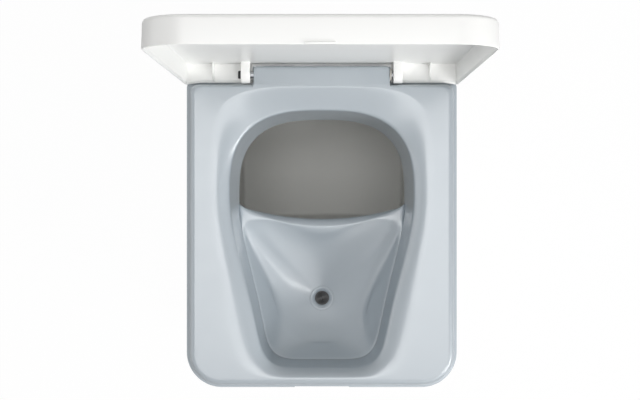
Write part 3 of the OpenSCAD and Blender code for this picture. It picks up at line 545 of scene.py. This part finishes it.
rings += [level([foot_at(t, 0.6) for t in TURNS], FOOT_Z),
          level([foot_at(t, SEAT_WALL) for t in TURNS], FOOT_Z),
          level([bowl_at(t, SEAT_WALL) for t in TURNS], EDGE_Z - 4),
          level(mix_rings(BRIM, CREST, 0.7), TOP_Z - SEAT_WALL - 1),
          seat_ring(RISER + TOP_ROUND, SEAT_WALL + 2, TOP_Z - SEAT_WALL),
          seat_ring(LEDGE_W + SEAT_WALL + 1, SEAT_WALL + 0.5, TOP_Z - TOP_ROUND - 1),
          seat_ring(LEDGE_W + SEAT_WALL, SEAT_WALL + 0.3, LEDGE_Z - SEAT_WALL),
          seat_ring(SEAT_WALL, SEAT_WALL, LEDGE_Z - SEAT_WALL)]
print(len(rings), "rings over the seat")

# %% [markdown]
# The rear shelf is a flat plate behind the seating surface. It is a closed form of its own that
# overlaps the tube of rings a little.

# %% Seat and rear shelf
bm = loft(bmesh.new(), rings, tube=True)


def shelf_ring(e, z):
    return level(plan(HALF_W - e, SHELF_Y - SEAT_WALL + e, REAR_Y - e, 1.5, 13 - e, 8, 12), z)


loft(bm, [shelf_ring(0.4, SEAT_Z), shelf_ring(0, SEAT_Z + 0.4), shelf_ring(0, SHELF_Z - 0.6),
          shelf_ring(0.2, SHELF_Z - 0.2), shelf_ring(0.7, SHELF_Z)])
piece("seat_skin", bm, "seat", "blue_plastic", ["seat_deck"])

# %% [markdown]
# ## The hinge block
# A block on the shelf holds the two pins on which the lid turns. The CAD model's block is hollow, and
# this one is closed, since nothing opens to its inside. Its outline has cut corners at the rear. It is
# drawn flat, extruded up, and its top and upright edges are bevelled.

# %% Hinge block
outline = [(-96, 200.9), (96, 200.9), (96, 224.5), (93.5, 227), (-93.5, 227), (-96, 224.5)]
bm = prism(level(outline, SHELF_Z), (0, 0, TOP_Z - SHELF_Z))
soften(bm, 4.5, 6, where=lambda e: min(v.co.z for v in e.verts) > (TOP_Z - 0.1) * MM
       and min(v.co.y for v in e.verts) > 224 * MM)
soften(bm, 1, where=lambda e: max(v.co.z for v in e.verts) > (SHELF_Z + 1) * MM
       and max(v.co.y for v in e.verts) > 201 * MM)
piece("hinge_block_skin", bm, "seat", "blue_plastic", ["hinge_block"])

# %% [markdown]
# ## The diverter
# The diverter is a separate basin at the front of the bowl. Liquid runs down it to the drain. Its rear
# edge is a curved lip that rolls over, and its other edges are a thin rim along the bowl's wall. Each
# ring of the skin is the outline drawn in towards the drain. Near the drain a ring is a circle, and
# further out it takes on the outline's corners little by little, so that the fold between the lip and
# the wall fades out as it does on a real moulding. The outline's distance from the drain is therefore
# smoothed over the angle, less and less towards the rim. BAND is 1 along the lip and fades to 0 a
# little past its ends, so that the corners roll over too, and SHOULDER is how far in that roll starts.

# %% Outline of the diverter about the drain
DRAIN = np.array([0, -110.0])
LIP_Z, DRAIN_Z, BASIN, FLAT_R, SEAM = 345, 300, 45, 17.8, -0.35
LIP_TURN, WIDENED = math.radians(-5.2), math.radians(4.5)
LIP_CENTRE_Y, LIP_R, FLARE_W = 413.7, 404, 14
LIP_REACH, LIP_ROLL, LIP_DROP, LIP_FLARE, RIM_ROLL = 120, 12.5, 10, 3.8, 0.8


def lip_curve(x):
    """The lip bends round the drain, and turns to the rear in the last stretch before the wall."""
    bend = LIP_CENTRE_Y - math.sqrt(LIP_R ** 2 - x ** 2)
    return bend + LIP_FLARE * max(0, 1 - (END_X - abs(x)) / FLARE_W) ** 2


END_X = wall_at(LIP_TURN, LIP_Z, SEAM)[0]
lip_line = [(u, lip_curve(u)) for u in np.linspace(END_X, -END_X, 300)]
wall_line = [wall_at(t, LIP_Z, SEAM) for t in np.linspace(-math.pi - LIP_TURN, LIP_TURN, 800)]
spokes = np.array(lip_line + wall_line[1:-1]) - DRAIN
turn_of = np.unwrap(np.arctan2(spokes[:, 1], spokes[:, 0]))
reach_of = np.hypot(spokes[:, 0], spokes[:, 1])
right_end, left_end = turn_of[0], turn_of[len(lip_line) - 1]
FINE = np.linspace(0, 2 * math.pi, 720, endpoint=False)
past_end = (FINE - right_end) % (2 * math.pi)
fine_reach = np.interp(past_end + right_end, turn_of, reach_of)
fine_lip = (past_end < left_end - right_end).astype(float)
fine_shoulder = ((past_end + WIDENED) % (2 * math.pi) < left_end - right_end + 2 * WIDENED).astype(float)


def blurred(values, degrees):
    """Values round the full turn, smoothed with a bell of this width."""
    waves = np.fft.rfft(values)
    pitch = np.arange(len(waves))
    return np.fft.irfft(waves * np.exp(-0.5 * (pitch * math.radians(degrees)) ** 2), len(values))


def at_turns(values):
    return np.interp(BASIN_TURNS % (2 * math.pi), np.append(FINE, 2 * math.pi), np.append(values, values[0]))


BASIN_TURNS = np.concatenate([np.linspace(right_end, left_end, 121)[:-1],
                              np.linspace(left_end, right_end + 2 * math.pi, 211)[:-1]])
EDGE_REACH = np.interp(BASIN_TURNS, np.append(turn_of, right_end + 2 * math.pi),
                       np.append(reach_of, reach_of[0]))
BAND = at_turns(blurred(fine_shoulder, 4))
SHOULDER = RIM_ROLL + (LIP_ROLL - RIM_ROLL) * BAND
print(f"lip ends {math.degrees(right_end):.1f} and {math.degrees(left_end):.1f} degrees about the drain")

# %% [markdown]
# The height of a ring point comes from three plain curves. Towards the lip the basin is a straight
# slope. Towards the walls it is a hollow that stays low and then climbs steeply. Both end in a
# shoulder at the rim's height, and at the lip that shoulder rolls over to the rear.

# %% Rings of the basin
WALL_SLOPE, WALL_SLOPE_FRONT, WALL_CLIMB, WALL_CLIMB_FRONT = 0.4, 0.05, 3.0, 0.2
LIP_WAVE, RIM_FROM, ROUND_SHARE = 0.7, 0.93, 0.65
SHARES = (1, 0.996, 0.991, 0.985, 0.978, 0.97, 0.961, 0.951, 0.94, 0.93, 0.92, 0.91, 0.9, 0.885, 0.87, 0.85,
          0.83, 0.8, 0.77, 0.74, 0.7, 0.66, 0.61, 0.56, 0.51, 0.46, 0.41, 0.36, 0.31, 0.26, 0.21, 0.16, 0.12,
          0.08, 0.05, 0.025, 0)


def soft_low(a, b, r):
    """The lower of two values, with the corner between them rounded."""
    return (a + b) / 2 - np.sqrt(((a - b) / 2) ** 2 + r * r)


def basin_ring(s, drop=0.0):
    """The ring at share s of the way out from the drain, lowered by drop.

    lip is 1 in the directions of the lip and 0 in those of the walls, blurred more near the drain."""
    reach = at_turns(blurred(fine_reach, 55 * (1 - s)))
    near_rim = min(1, max(0, (s - RIM_FROM) / 0.07)) ** 2
    reach = reach + (EDGE_REACH - reach) * near_rim
    lip = at_turns(blurred(fine_lip, 3 + 60 * (1 - s) ** 1.3))
    away = FLAT_R + (reach - FLAT_R) * s
    away = away + (reach - (1 - s) * LIP_REACH - away) * smooth((s - 0.6) / 0.3)
    share = np.clip((away - FLAT_R) / (reach - SHOULDER - FLAT_R), 0, 1.2)
    front = np.clip(-np.sin(BASIN_TURNS), 0, 1)
    straight = lip + (1 - lip) * (WALL_SLOPE + WALL_SLOPE_FRONT * front)
    climb = straight * share + (1 - straight) * share ** (WALL_CLIMB - WALL_CLIMB_FRONT * front)
    height = soft_low(BASIN * climb, BASIN - 0.2, 0.5 + 0.9 * (1 - lip))
    inward = np.clip(1 - (reach - away) / LIP_ROLL, 0, 1)
    fall = 0.35 * inward + ROUND_SHARE * (1 - np.sqrt(1 - inward ** 2))
    height = height - np.maximum(lip, LIP_WAVE * BAND) * LIP_DROP * fall
    height = np.maximum(height, 0) + DRAIN_Z - drop
    return [(DRAIN[0] + a * math.cos(t), DRAIN[1] + a * math.sin(t), z)
            for a, t, z in zip(away, BASIN_TURNS, height)]


def drain_ring(r, z):
    return [(DRAIN[0] + r * math.cos(t), DRAIN[1] + r * math.sin(t), z) for t in BASIN_TURNS]


rings = [drain_ring(16.2, DRAIN_Z - 3)] + [basin_ring(s, 3) for s in (0, 0.3, 0.6, 0.8, 0.9)]
rings.append([(p[0], p[1], q[2]) for p, q in zip(basin_ring(0.985), basin_ring(0.96, 4))])
rings += [basin_ring(s) for s in SHARES]
rings += [drain_ring(17.3, DRAIN_Z - 0.25), drain_ring(16.4, DRAIN_Z - 0.25),
          drain_ring(16.2, DRAIN_Z - 0.6)]
piece("diverter_skin", loft(bmesh.new(), rings, tube=True), "seat", "blue_plastic", ["diverter_bowl"])

# %% [markdown]
# ## The solids bin
# The bin is a deep open box of warm grey plastic with wide round corners, a little wider at its rim
# than at its floor. Its inside is what the view down the bowl shows, so its floor has a round where
# it meets the walls.

# %% Solids bin
BIN_FOOT, BIN_TOP, BIN_FLOOR, BIN_R, BIN_LEAN, BIN_ROUND = 5.2, 305, 4, 25, 6, 6
BIN_HALF_W, BIN_FRONT, BIN_REAR = 138.4, 9.3, 183.3


def bin_ring(grow, z):
    r = BIN_R + grow
    return level(plan(BIN_HALF_W + grow, BIN_FRONT - grow, BIN_REAR + grow, r, r, 12, 14), z)


def bin_wall_ring(out, z):
    return bin_ring(out + BIN_LEAN * (z - BIN_FOOT) / (BIN_TOP - BIN_FOOT), z)


rings = [bin_ring(-1, BIN_FOOT), bin_ring(1.5, BIN_FOOT), bin_wall_ring(2.5, BIN_FOOT + 2),
         bin_wall_ring(2.5, BIN_TOP - 3), bin_wall_ring(6, BIN_TOP - 3), bin_wall_ring(6.5, BIN_TOP - 2.5),
         bin_wall_ring(6.5, BIN_TOP - 0.6), bin_wall_ring(6, BIN_TOP), bin_wall_ring(0.8, BIN_TOP),
         bin_wall_ring(0, BIN_TOP - 0.8)]
rings += [bin_wall_ring(0, BIN_TOP - 60 * i) for i in range(1, 5)]
for turn in QUARTER:
    rings.append(bin_ring(-BIN_ROUND * (1 - math.cos(turn)),
                          BIN_FOOT + BIN_FLOOR + BIN_ROUND * (1 - math.sin(turn))))
rings.append(bin_ring(-2 * BIN_ROUND, BIN_FOOT + BIN_FLOOR))
piece("solids_bin_skin", loft(bmesh.new(), rings), "housing", "grey_plastic", ["solids_bin"])

# %% [markdown]
# ## The lid
# The lid is a shallow tray with a wide round over between its panel and its skirt. It is drawn shut,
# about its pins, and then turned up a quarter turn, because that is how it stands in the photograph
# and at rest in the CAD model. A notch in its rear skirt lets the hinge block through.

# %% Lid shell
PIN_Y, PIN_Z = 215, 408
LID_UP, LID_DOWN, LID_WALL, LID_ROUND, LID_FRONT, LID_REAR = 20, 12.5, 3, 5, -446.5, 14
LID_HALF_W, LID_CORNER, LID_OUTER, LID_INNER, RELIEF = 195, 52.5, 0.8, 1.8, 2.4
NOTCH_HALF_W, NOTCH_TOP = 98, 13.8
STAND_UP = Matrix.Translation(Vector((0, PIN_Y, PIN_Z)) * MM) @ Matrix.Rotation(math.radians(-90), 4, "X")


def lid_ring(e, z, relief=0):
    """The lid's outline drawn in by e; relief lifts the rear skirt's rim between the corners."""
    outline = plan(LID_HALF_W - e, LID_FRONT + e, LID_REAR - e, LID_CORNER - e, max(2.5, 6 - e), 24, 18)
    return [(x, y, z + relief * smooth((193 - abs(x)) / 20) * (y > LID_REAR - 4)) for x, y in outline]


rings = [lid_ring(LID_WALL + LID_INNER + 4, LID_UP - LID_WALL)]
for turn in QUARTER:
    rings.append(lid_ring(LID_WALL + LID_INNER * (1 - math.sin(turn)), LID_UP - LID_WALL - LID_INNER
                          + LID_INNER * math.cos(turn)))
rings += [lid_ring(LID_WALL, -LID_DOWN + 3.4, RELIEF), lid_ring(LID_WALL - 0.4, -LID_DOWN + 3.1, RELIEF),
          lid_ring(LID_WALL - 0.9, -LID_DOWN + 0.5, RELIEF), lid_ring(LID_WALL - 1.3, -LID_DOWN, RELIEF),
          lid_ring(0.5, -LID_DOWN, RELIEF), lid_ring(0, -LID_DOWN + 0.5, RELIEF)]
for turn in QUARTER:
    rings.append(lid_ring(LID_OUTER + (LID_ROUND - LID_OUTER) * (1 - math.cos(turn)),
                          LID_UP - LID_ROUND + LID_ROUND * math.sin(turn)))
rings.append(lid_ring(LID_ROUND + 4, LID_UP))
bm = loft(bmesh.new(), rings)
bmesh.ops.transform(bm, matrix=STAND_UP, verts=bm.verts)
lid = piece("lid_skin", bm, "lid", "white_plastic", ["lid_shell"])
cut(lid, tool(box((-NOTCH_HALF_W, LID_REAR - LID_WALL - 0.1, -LID_DOWN - 1),
                  (NOTCH_HALF_W, LID_REAR + 1, NOTCH_TOP)), STAND_UP))

# %% [markdown]
# Two thick lugs turn on the pins, and two thin gussets stiffen the corner between the panel and the
# rear skirt. On the mould they are plain slots, so each is a side view pushed across the lid. The lugs
# have soft edges and a bored hole. The gussets stay nearly sharp. The finger lip is a small bar in the
# middle of the front rim.

# %% Lugs, gussets and finger lip
LUG_X, LUG_T, LUG_R, PIN_R = 101, 13, 12.3, 4.16
GUSSET_X, GUSSET_T = 154, 2.2
INTO_REAR, INTO_PANEL = 12.5, 18.5
for side, word in ((-1, "left"), (1, "right")):
    x = LUG_X if side > 0 else -LUG_X - LUG_T
    lug_side = [(INTO_REAR, INTO_PANEL), (-LUG_R, INTO_PANEL)] + arc(0, 0, LUG_R, 180, 270, 12)
    lug_side.append((INTO_REAR, -LUG_R + 1.5))
    bm = prism([(x, y, z) for y, z in lug_side], (LUG_T, 0, 0))
    soften(bm, 1.1)
    bmesh.ops.transform(bm, matrix=STAND_UP, verts=bm.verts)
    lug = piece("lid_lug_" + word, bm, "lid", "white_plastic")
    cut(lug, tool(rod((x - 1, PIN_Y, PIN_Z), "X", PIN_R, LUG_T + 2)))
    x = side * GUSSET_X - GUSSET_T / 2
    gusset_side = [(INTO_REAR, 2 - LID_DOWN), (INTO_REAR, INTO_PANEL), (-7, INTO_PANEL), (-7, 16)]
    bm = prism([(x, y, z) for y, z in gusset_side], (GUSSET_T, 0, 0))
    soften(bm, 0.4, 2)
    bmesh.ops.transform(bm, matrix=STAND_UP, verts=bm.verts)
    piece("lid_gusset_" + word, bm, "lid", "white_plastic")
bm = box((-16.5, LID_FRONT - 1.8, -LID_DOWN), (16.5, LID_FRONT + 1.2, -LID_DOWN + 3))
soften(bm, 0.8)
bmesh.ops.transform(bm, matrix=STAND_UP, verts=bm.verts)
piece("lid_finger_lip", bm, "lid", "white_plastic")

# %% [markdown]
# ## The lid's pins
# Each side of the hinge block has a short pin. The left one is a steel pin with a black moulded head
# outside the lug. On the right a light flange stands beside the block. They are turned parts, so each
# is a row of circles along a profile, with small steps for the soft edges.

# %% Pins, head and flange
HEAD_SEAT = (-LUG_X - LUG_T - 0.3, PIN_Y, PIN_Z)
rings = turned([(3.4, 0), (4.1, 0.7), (4.1, 33.6), (3.4, 34.3)], HEAD_SEAT, (1, 0, 0))
piece("lid_pin_left_skin", loft(bmesh.new(), rings), "lid", "steel", ["lid_pin_left"])
rings = turned([(3.4, 0), (4.1, 0.7), (4.1, 32.8), (3.4, 33.5)], (80, PIN_Y, PIN_Z), (1, 0, 0))
piece("lid_pin_right_skin", loft(bmesh.new(), rings), "lid", "steel", ["lid_pin_right"])
rings = turned([(5.2, 0), (5.7, 0.5), (5.7, 3), (5.4, 3.7), (4.6, 4), (2.4, 4), (2, 3.2)], HEAD_SEAT,
               (-1, 0, 0))
piece("lid_pin_head_skin", loft(bmesh.new(), rings), "lid", "black_plastic", ["lid_pin_head"])
rings = turned([(4.4, 0), (8.35, 0), (8.35, 1.9), (7.75, 2.5), (4.6, 2.5), (4.4, 2.3)],
               (96.2, PIN_Y, PIN_Z), (1, 0, 0))
piece("lid_pin_flange_skin", loft(bmesh.new(), rings, tube=True), "seat", "beige_plastic",
      ["lid_pin_flange"])

# %% [markdown]
# ## The drain
# The spout is a turned tube with a thin flange that lies in the middle of the basin and dips into the
# bore. A rubber valve closes it. Its two lips lean against each other like a low roof, with a slit
# along the ridge, so its skin is made of circles whose height falls away from the slit. The slit's
# dark line is painted shade: a thin strip of black rubber along the ridge stands for the shadow
# inside the slit. The nut below and the soft ring in the bottle's neck stay as the CAD model has them.

# %% Spout and valve
OVER_DRAIN = (0, DRAIN[1], 0)
SLIT, ROOF_R, ROOF_Z, ROOF_RISE = math.radians(108), 8.2, 296.1, 0.5
rings = turned([(10.5, 262.3), (10.8, 262), (12.2, 262), (12.5, 262.3), (12.5, 297.2), (16, 298.8),
                (16, 300.1), (17.4, 300.1), (17.5, 300.3), (17.2, 300.55), (16.7, 300.6), (14.6, 299.8),
                (12.6, 298.9), (11.4, 298.1), (10.7, 297.4), (10.5, 296.4)], OVER_DRAIN)
piece("drain_spout_skin", loft(bmesh.new(), rings, tube=True), "seat", "blue_plastic", ["drain_spout"])
rings = turned([(10.1, 293), (10.4, 293.3), (10.4, 296.7), (10.1, 297), (8.9, 297), (8.5, 296.6)],
               OVER_DRAIN)
turns = [2 * math.pi * i / 64 for i in range(64)]
for r in (ROOF_R, 7, 5.5, 4, 2.5, 1.2, 0.3):
    rings.append([(r * math.cos(a), DRAIN[1] + r * math.sin(a),
                   ROOF_Z + ROOF_RISE * (1 - abs(r * math.sin(a - SLIT)) / ROOF_R)) for a in turns])
piece("drain_valve_skin", loft(bmesh.new(), rings), "seat", "grey_rubber", ["drain_valve"])
# painted shade: a thin black rubber strip along the ridge stands for the shadow inside the valve's slit
slit_shade = soften(box((-7.2, -0.4, 295.5), (7.2, 0.4, 296.72)), 0.08, 2)
bmesh.ops.rotate(slit_shade, cent=(0, 0, 0), matrix=Matrix.Rotation(SLIT, 3, "Z"), verts=slit_shade.verts)
bmesh.ops.translate(slit_shade, vec=(0, DRAIN[1] * MM, 0), verts=slit_shade.verts)
piece("drain_valve_slit_shade", slit_shade, "seat", "black_rubber")

# %% [markdown]
# ## Housing and base
# The housing is a thin moulded shell whose front and sides lean in a little towards the floor, so that
# it leaves the mould. Its top has an inward flange that carries the seat, with a pocket for the hand
# at the front. It stands on a grey tray with a rim inside the housing. The housing is a tube of rings
# and the tray a vessel, both with rounded edges, and the bores are cut in afterwards.

# %% Housing shell
HOUSING_Z, HOUSING_WALL, HOUSING_LEAN, STEP_Z = 381, 3.5, 8, 3
VENT_Z, VENT_BORE_R, SOCKET_X, SOCKET_BORE_R = 290, 26, 80, 5.7


def housing_ring(inset, z):
    e = inset + HOUSING_LEAN * (1 - z / HOUSING_Z)
    return level(plan(HALF_W - e, FRONT_Y + e, REAR_Y - inset, CORNER_R - e, max(2, 13 - inset), 16, 14), z)


rings = [housing_ring(HOUSING_WALL, STEP_Z), housing_ring(0.8, STEP_Z), housing_ring(0.2, STEP_Z + 0.3),
         housing_ring(0, STEP_Z + 1)]
rings += [housing_ring(0, STEP_Z + 1 + (HOUSING_Z - STEP_Z - 2.5) * k / 6) for k in range(1, 7)]
rings += [housing_ring(0.45, HOUSING_Z - 0.45), housing_ring(1.5, HOUSING_Z), housing_ring(10.4, HOUSING_Z),
          housing_ring(11, HOUSING_Z - 0.6), housing_ring(11, HOUSING_Z - 3.5),
          housing_ring(4.5, HOUSING_Z - 3.5), housing_ring(HOUSING_WALL, HOUSING_Z - 4.5)]
housing = piece("housing_skin", loft(bmesh.new(), rings, tube=True), "housing", "white_plastic",
                ["housing_shell"])
cut(housing, tool(box((-41, FRONT_Y + 1.5, 358.5), (41, FRONT_Y + 17.5, HOUSING_Z))), "UNION")
pocket = box((-GRIP_HALF_W, FRONT_Y - 5, 361), (GRIP_HALF_W, FRONT_Y + 15, HOUSING_Z + 6))
soften(pocket, 3, 5, where=lambda e: max(v.co.z for v in e.verts) < 362 * MM
       or min(v.co.y for v in e.verts) > (FRONT_Y + 14) * MM)
cut(housing, tool(pocket))
cut(housing, tool(rod((0, 205, VENT_Z), "Y", VENT_BORE_R, 40)))
cut(housing, tool(rod((SOCKET_X, 205, VENT_Z), "Y", SOCKET_BORE_R, 40)))

# %% Base tray with its pads and screws
BASE_SCREW_Z, PAD_T, PAD_X, BORE_X, BORE_Y = 18.4, 2.5, 126, 160, 180
rings = [housing_ring(1.6, 0), housing_ring(1.1, 0.15), housing_ring(1, 0.6), housing_ring(1, STEP_Z - 0.2),
         housing_ring(3.7, STEP_Z - 0.2), housing_ring(3.7, 27.2), housing_ring(3.9, 27.8),
         housing_ring(4.5, 28), housing_ring(5.9, 28), housing_ring(6.5, 27.8), housing_ring(6.7, 27.2),
         housing_ring(6.7, 7.5), housing_ring(7.4, 5.8), housing_ring(9.2, 5)]
tray = piece("base_skin", loft(bmesh.new(), rings), "housing", "grey_plastic", ["base_tray"])
bores, pads = bmesh.new(), bmesh.new()
for x in (-1, 1):
    for y in (-BORE_Y, BORE_Y):
        loft(bores, turned([(4.8, -0.5), (3.25, 1.2), (3.25, 7)], (x * BORE_X, y, 0)))
        loft(bores, turned([(13.2, -1), (13.2, PAD_T)], (x * PAD_X, y, 0)))
        loft(pads, turned([(12.2, 0), (13, 0.6), (13, PAD_T), (4, PAD_T), (4, 0.8), (5, 0.4)],
                          (x * PAD_X, y, 0)), tube=True)
cut(tray, tool(bores))
piece("pads_skin", pads, "housing", "black_rubber", ["foot_pads"])


def screws(name, spots, facing, shank, r, head_r, head_t, nodes):
    """Screws with domed heads and a hexagon socket, from the head's seat backwards."""
    bm, sockets = bmesh.new(), bmesh.new()
    for spot, way in zip(spots, facing):
        loft(bm, turned([(r * 0.4, -shank), (r, 1.5 - shank), (r, 0), (head_r, 0), (head_r, head_t * 0.3),
                         (head_r * 0.93, head_t * 0.65), (head_r * 0.75, head_t * 0.9),
                         (head_r * 0.5, head_t)], spot, way, 32))
        loft(sockets, turned([(head_r * 0.42, head_t * 0.35), (head_r * 0.42, head_t + 1)], spot, way, 6))
    cut(piece(name, bm, "housing", "steel", nodes), tool(sockets))


FAN_HOLE = 25
base_x = HALF_W - HOUSING_LEAN * (1 - BASE_SCREW_Z / HOUSING_Z) + 0.2
screws("base_screws_skin", [(s * base_x, y, BASE_SCREW_Z) for s in (-1, 1) for y in (-120, 120)],
       [(s, 0, 0) for s in (-1, -1, 1, 1)], 14, 2, 4, 2, ["base_screws"])
screws("vent_screws_skin", [(x, REAR_Y + 4.5, VENT_Z + z) for x in (-FAN_HOLE, FAN_HOLE)
                            for z in (-FAN_HOLE, FAN_HOLE)],
       [(0, 1, 0)] * 4, 25, 1.9, 3.42, 2, ["vent_screws"])
screws("seat_hinge_screws_skin", [(x, REAR_Y + 2, 361) for x in (-73, -51, 51, 73)],
       [(0, 1, 0)] * 4, 9, 1.75, 3.3, 1.6, ["seat_hinge_screws"])

# %% [markdown]
# ## The vent
# The hose slips over a short spigot with a square flange, screwed through a rubber gasket to the
# housing's rear wall. Flange and gasket are rounded squares pushed out of the wall, and the spigot is
# a turned tube with a lead-in at its end.

# %% Spigot and its gasket
GASKET_T, FLANGE_T, SPIGOT_IN, SPIGOT_OUT = 1.5, 3, 22, 25


def square_plate(y, t, edge):
    outline = [(x, y, VENT_Z + z) for x, z in plan(33, -33, 33, 5, 5, 1, 8)]
    return soften(prism(outline, (0, t, 0)), edge, 2, 60)


bores = bmesh.new()
loft(bores, turned([(22.5, -5), (22.5, 60)], (0, REAR_Y, VENT_Z), (0, 1, 0)))
for x in (-FAN_HOLE, FAN_HOLE):
    for z in (-FAN_HOLE, FAN_HOLE):
        loft(bores, turned([(2.1, -5), (2.1, 12)], (x, REAR_Y, VENT_Z + z), (0, 1, 0), 24))
gasket = piece("vent_gasket_skin", square_plate(REAR_Y, GASKET_T, 0.2), "housing", "black_rubber",
               ["vent_gasket"])
cut(gasket, tool(bores.copy()))
spigot = piece("vent_spigot_skin", square_plate(REAR_Y + GASKET_T, FLANGE_T, 0.6), "housing",
               "white_plastic", ["vent_spigot"])
rings = turned([(SPIGOT_IN, 1.6), (SPIGOT_OUT, 1.6), (SPIGOT_OUT, 37.5), (24.2, 40), (23.8, 40.5),
                (SPIGOT_IN, 40.5)], (0, REAR_Y, VENT_Z), (0, 1, 0))
cut(spigot, tool(loft(bmesh.new(), rings)), "UNION")
cut(spigot, tool(bores))

# %% [markdown]
# ## The bottle and the divider
# The bottle is blow moulded: wide soft shoulders, a round neck and a handle beside it. Its body is a
# vessel of rings, and neck and handle are joined on and bored. A plain panel keeps it apart from the
# solids bin.

# %% Urine bottle and divider panel
SHOULDER_R, SHOULDER_Z = 14, 223


def bottle_ring(e, z):
    return level(plan(146 - e, -194.2 + e, -10.2 - e, 40 - e, 20 - min(e, 17), 12, 12), z)


rings = [bottle_ring(7, BIN_FOOT), bottle_ring(5, 5.4), bottle_ring(2, 7.5), bottle_ring(0.5, 10.5),
         bottle_ring(0, 15)]
for turn in QUARTER:
    rings.append(bottle_ring(SHOULDER_R * (1 - math.cos(turn)), SHOULDER_Z + SHOULDER_R * math.sin(turn)))
bottle = piece("bottle_skin", loft(bmesh.new(), rings), "housing", "bottle_plastic", ["urine_bottle"])
hollow = [bottle_ring(8, 8), bottle_ring(3.5, 12), bottle_ring(2.5, 17), bottle_ring(2.5, 222),
          bottle_ring(7, 230), bottle_ring(16, 234.5)]
neck = turned([(30.5, 233), (30.5, 236.9), (28.6, 237.8), (28, 239.5), (28, 265.8), (27.2, 267), (20, 267)],
              OVER_DRAIN)
handle = soften(box((-132, -122, 236), (-36, -98, 267)), 5, 4)
finger_room = soften(box((-120, -140, 237), (-48, -80, 255)), 5, 4,
                     where=lambda e: abs(e.verts[0].co.y - e.verts[1].co.y) > 1 * MM)
cut(bottle, tool(handle), "UNION")
cut(bottle, tool(finger_room))
cut(bottle, tool(loft(bmesh.new(), neck)), "UNION")
cut(bottle, tool(loft(bmesh.new(), hollow)))
cut(bottle, tool(loft(bmesh.new(), turned([(25, 230), (25, 270)], OVER_DRAIN))))
divider = soften(box((-178.6, -7.7, BIN_FOOT), (178.6, -5.2, 255)), 0.6)
piece("divider_skin", divider, "housing", "white_plastic", ["divider_panel"])

# %% Finish
bpy.context.view_layer.update()
